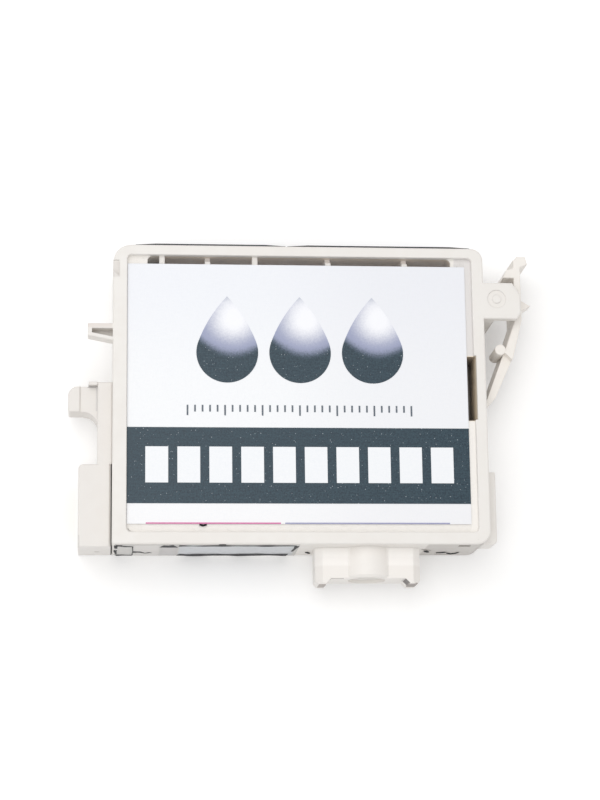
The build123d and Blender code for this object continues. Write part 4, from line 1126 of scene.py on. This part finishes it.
    def build(self) -> None:
        """Dresses the case, ribs and films and adds the dried ink."""
        stains_and_shades = (self.recess_floor, self.right_floor, self.rows, self.first_cell, self.side_slot,
                  self.slot_top, self.marks, self.grimy_and_shaded, self.port_pale, self.port_upper, self.port_top,
                  self.wedge_tone, self.corner_facet, self.side_gap, self.foot_slope, self.foot_tip,
                  self.web_line, self.foot_end)
        self.coat("case_body", MouldedPlastic("case_plastic_dressed", PALE, PALE_SHADE, stains_and_shades=stains_and_shades))
        ribs = MouldedPlastic("rib_plastic_dressed", PALE, PALE_SHADE, stains_and_shades=(self.rib_sides,))
        self.coat("chamber_ribs", ribs)
        self.coat("front_film", ClearFilm("front_film_clear", rgb(0.92, 0.89, 0.85), 0.04))
        self.coat("channel_film", ClearFilm("channel_film_milky", rgb(0.86, 0.84, 0.81), 0.7, 0.3,
                                             (self.patch, self.grey_cell, self.window)))
        strip = ("top_film_dark", rgb(0.022, 0.022, 0.026), rgb(0.034, 0.034, 0.038), 0.2, {"cloud": 0.25})
        self.coat_small(
            ("top_film_left", *strip),
            ("top_film_right", *strip),
            ("fill_plug", "plug_rubber_dressed", rgb(0.24, 0.24, 0.25), rgb(0.2, 0.2, 0.21), 0.6, {}),
        )
        self.ink_traces()


@dataclass
class Label(Maker):
    """The front label and the fields printed on it."""

    def build(self) -> None:
        """Dresses the paper and each printed field."""
        self.coat("front_label", LabelPaper("label_paper_dressed", rgb(0.895, 0.91, 0.95),
                                            rgb(0.945, 0.955, 0.97), rgb(0.955, 0.955, 0.965)))
        slate, slate_thin = rgb(0.002, 0.02, 0.038), rgb(0.026, 0.062, 0.086)
        self.coat("label_drops", DropInk("drop_ink_dressed", slate, slate_thin, 0.11))
        for node, name, ink, thin, missing in (
            ("label_band", "band_ink_dressed", slate, slate_thin, 0.11),
            ("label_level_bars", "bar_ink_dressed", rgb(0.93, 0.94, 0.96), rgb(0.89, 0.91, 0.94), 0.01),
            ("label_ticks", "tick_ink_dressed", rgb(0.09, 0.11, 0.14), rgb(0.14, 0.17, 0.2), 0.02),
            ("label_warm_line", "warm_ink_dressed", rgb(0.66, 0.13, 0.36), rgb(0.72, 0.2, 0.42), 0.02),
            ("label_cool_line", "cool_ink_dressed", rgb(0.3, 0.31, 0.5), rgb(0.36, 0.37, 0.55), 0.02),
        ):
            self.coat(node, PrintedInk(name, ink, thin, missing))


@dataclass
class Carrier(Maker):
    """The side moulding with the memory chip."""

    dark_boxes: tuple[StainAndShade, ...] = (
        # Painted shade on the carrier's wall in the gap by the case.
        even_stain_and_shade(-0.16, 0.5, -0.3, 13.8, 0.6, 9.3, GAP_DARK, 0.04),
        # Painted shade under the hook's lip.
        box_stain_and_shade(-4.1, -2.4, 26.85, 27.1, 7.6, 8.9, rgb(0.56, 0.54, 0.52), rgb(0.5, 0.48, 0.46), 0.1),
        # Painted shade in the hook's dish beside the column.
        even_stain_and_shade(-2.72, -2.42, 22.9, 27.0, 7.6, 8.2, rgb(0.7, 0.68, 0.66), 0.08),
        # A darker strip at the block's lower left corner.
        even_stain_and_shade(-5.6, -5.2, -0.4, 2.0, 9.0, 13.2, rgb(0.74, 0.71, 0.68), 0.2),
    )

    def build(self) -> None:
        """Dresses the moulding, board, pads and resin."""
        self.coat("chip_carrier", MouldedPlastic("carrier_plastic_dressed", rgb(0.83, 0.8, 0.765),
                                                 rgb(0.82, 0.782, 0.742), stains_and_shades=self.dark_boxes))
        self.coat_small(
            ("chip_board", "board_mask", rgb(0.03, 0.16, 0.07), rgb(0.045, 0.2, 0.09), 0.35,
             {"cloud": 0.4, "grain": 5.0}),
            ("chip_contacts", "pad_gold", rgb(0.9, 0.68, 0.3), rgb(0.8, 0.57, 0.24), 0.25,
             {"metallic": 1.0, "grain": 9.0}),
            ("chip_resin", "resin_dressed", rgb(0.015, 0.015, 0.017), rgb(0.03, 0.03, 0.03), 0.18, {}),
        )


@dataclass
class Latch(Maker):
    """The springy latch lever."""

    def build(self) -> None:
        """Dresses the lever."""
        # The lever's tints are lighter than the case's: its own cream colour, and painted light on it.
        self.coat("latch_lever", MouldedPlastic("lever_plastic_dressed", rgb(0.92, 0.88, 0.83),
                                                rgb(0.885, 0.84, 0.78)))


@dataclass
class SupplyPort(Maker):
    """The seal, valve and spring in the supply port."""

    spring_seat: Place = (11.05, -18.7, 6.4)
    spring_length: float = 6.9
    valve_travel: float = 2.0

    def coil(self, finish: Finish) -> None:
        """Makes the spring as a piece of its own from the CAD spring's mesh, and hides the CAD spring.

        Args:
            finish: the spring's finish.
        """
        solid = self.nodes["supply_spring"]
        mesh = bmesh.new()
        mesh.from_mesh(solid.data)
        mesh.transform(solid.matrix_world)
        coil = self.add("supply_coil", mesh, finish, Body.CASE, "spring_steel")
        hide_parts("supply_spring")
        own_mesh(coil)

    def build(self) -> None:
        """Dresses the parts in the port's bore."""
        self.coat_small(
            ("port_seal", "seal_rubber_dressed", rgb(0.85, 0.825, 0.79), rgb(0.81, 0.785, 0.745), 0.5,
             {"grain": 6.0, "relief": 0.5}),
            ("supply_valve", "valve_plastic_dressed", rgb(0.8, 0.8, 0.78), rgb(0.72, 0.72, 0.7), 0.35, {}),
        )
        self.coil(SPRING_WIRE)


@dataclass
class RearSide(Maker):
    """The regulating valve, filter, vent, film and label in the back."""

    def build(self) -> None:
        """Dresses everything that is let into the back."""
        self.coat("regulator_spring", SPRING_WIRE)
        self.coat_small(
            ("regulator_cap", "cap_plastic", rgb(0.76, 0.76, 0.74), rgb(0.7, 0.7, 0.68), 0.4, {}),
            ("regulator_diaphragm", "diaphragm_dressed", rgb(0.1, 0.1, 0.11), rgb(0.14, 0.14, 0.15), 0.5, {}),
            ("ink_filter", "filter_weave", rgb(0.55, 0.55, 0.53), rgb(0.3, 0.3, 0.3), 0.45, {"cloud": 9.0}),
            ("vent_membrane", "membrane_felt", rgb(0.88, 0.88, 0.88), rgb(0.8, 0.8, 0.8), 0.8, {"cloud": 5.0}),
        )
        self.coat("back_film", ClearFilm("back_film_clear", rgb(0.8, 0.82, 0.84), 0.12))
        self.coat("rear_label", LabelPaper("rear_paper_dressed", rgb(0.87, 0.88, 0.9), rgb(0.9, 0.905, 0.92),
                                           rgb(0.9, 0.9, 0.91)))


@dataclass
class Studio:
    """The white table, the soft lights and the photograph's camera."""

    table_reach: float = 1.6
    table_drop: float = 0.02
    sky: float = 0.68
    key_power: float = 1.05
    key_size: float = 0.5
    key_place: Place = (-0.14, 0.18, 0.64)
    fill_power: float = 0.75
    fill_size: float = 0.6
    fill_place: Place = (-0.16, -0.25, 0.62)
    camera_place: Place = (-32.245, -79.519, 367.977)
    camera_right: Place = (0.996117, -0.012622, 0.087124)
    camera_up: Place = (-0.006412, 0.976639, 0.214793)
    camera_back: Place = (-0.0878, -0.214518, 0.972766)
    camera_lens: float = 99.65
    camera_sensor: float = 36.0
    camera_near: float = 0.01
    camera_far: float = 10.0

    def table(self) -> None:
        """Lays the table at the height of the cartridge's back."""
        mesh = bmesh.new()
        bmesh.ops.create_grid(mesh, x_segments=2, y_segments=2, size=self.table_reach,
                              matrix=Matrix.Translation((0.0, 0.0, -self.table_drop * MM)))
        data = bpy.data.meshes.new("table")
        mesh.to_mesh(data)
        mesh.free()
        top = bpy.data.objects.new("table", data)
        bpy.context.scene.collection.objects.link(top)
        data.materials.append(TableFinish().material())

    def lights(self) -> None:
        """Sets the even sky and two large soft lamps."""
        world = bpy.data.worlds.new("studio_sky")
        bpy.context.scene.world = world
        world.use_nodes = True
        bench = Bench(world.node_tree)
        world.node_tree.nodes.clear()
        sky, seen = bench.add("ShaderNodeBackground"), bench.add("ShaderNodeBackground")
        sky.inputs["Strength"].default_value = self.sky
        seen.inputs["Strength"].default_value = 1.0
        for panel in (sky, seen):
            panel.inputs["Color"].default_value = rgb(1.0, 1.0, 1.0)
        rays = bench.add("ShaderNodeLightPath").outputs
        panels = bench.choose(rays["Is Camera Ray"], sky, seen)
        bench.feed(bench.add("ShaderNodeOutputWorld").inputs["Surface"], panels)
        self.lamp("soft_key", self.key_power, self.key_size, self.key_place)
        self.lamp("soft_fill", self.fill_power, self.fill_size, self.fill_place)

    def lamp(self, name: str, power: float, size: float, place: Place) -> None:
        """Hangs a soft round lamp that faces the cartridge.

        Args:
            name: the lamp's name.
            power: its power in watts.
            size: its width in metres.
            place: where it hangs, in metres.
        """
        light = bpy.data.lights.new(name, "AREA")
        light.shape, light.size = "DISK", size
        light.energy = power
        holder = bpy.data.objects.new(name, light)
        holder.location = place
        holder.rotation_euler = (-Vector(place)).to_track_quat("-Z", "Y").to_euler()
        bpy.context.scene.collection.objects.link(holder)

    def camera(self) -> None:
        """Sets the camera where straight edges of the photograph put it."""
        data = bpy.data.cameras.new("photo_camera")
        data.lens, data.sensor_width = self.camera_lens, self.camera_sensor
        data.clip_start, data.clip_end = self.camera_near, self.camera_far
        camera = bpy.data.objects.new("photo_camera", data)
        turn = Matrix((self.camera_right, self.camera_up, self.camera_back)).transposed().to_4x4()
        camera.matrix_world = Matrix.Translation(Vector(self.camera_place) * MM) @ turn
        bpy.context.scene.collection.objects.link(camera)
        bpy.context.scene.camera = camera

    def build(self) -> None:
        """Builds the table, lights and camera and sets the plain view transform."""
        self.table()
        self.lights()
        self.camera()
        bpy.context.scene.view_settings.view_transform = "Standard"


def main() -> None:
    """Builds the scene."""
    logging.basicConfig(level=logging.INFO, format="%(message)s")
    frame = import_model()
    for assembly in (Tank, Label, Carrier, Latch, SupplyPort, RearSide):
        assembly(frame["nodes"]).build()
    Studio().build()


if __name__ == "__main__":
    main()
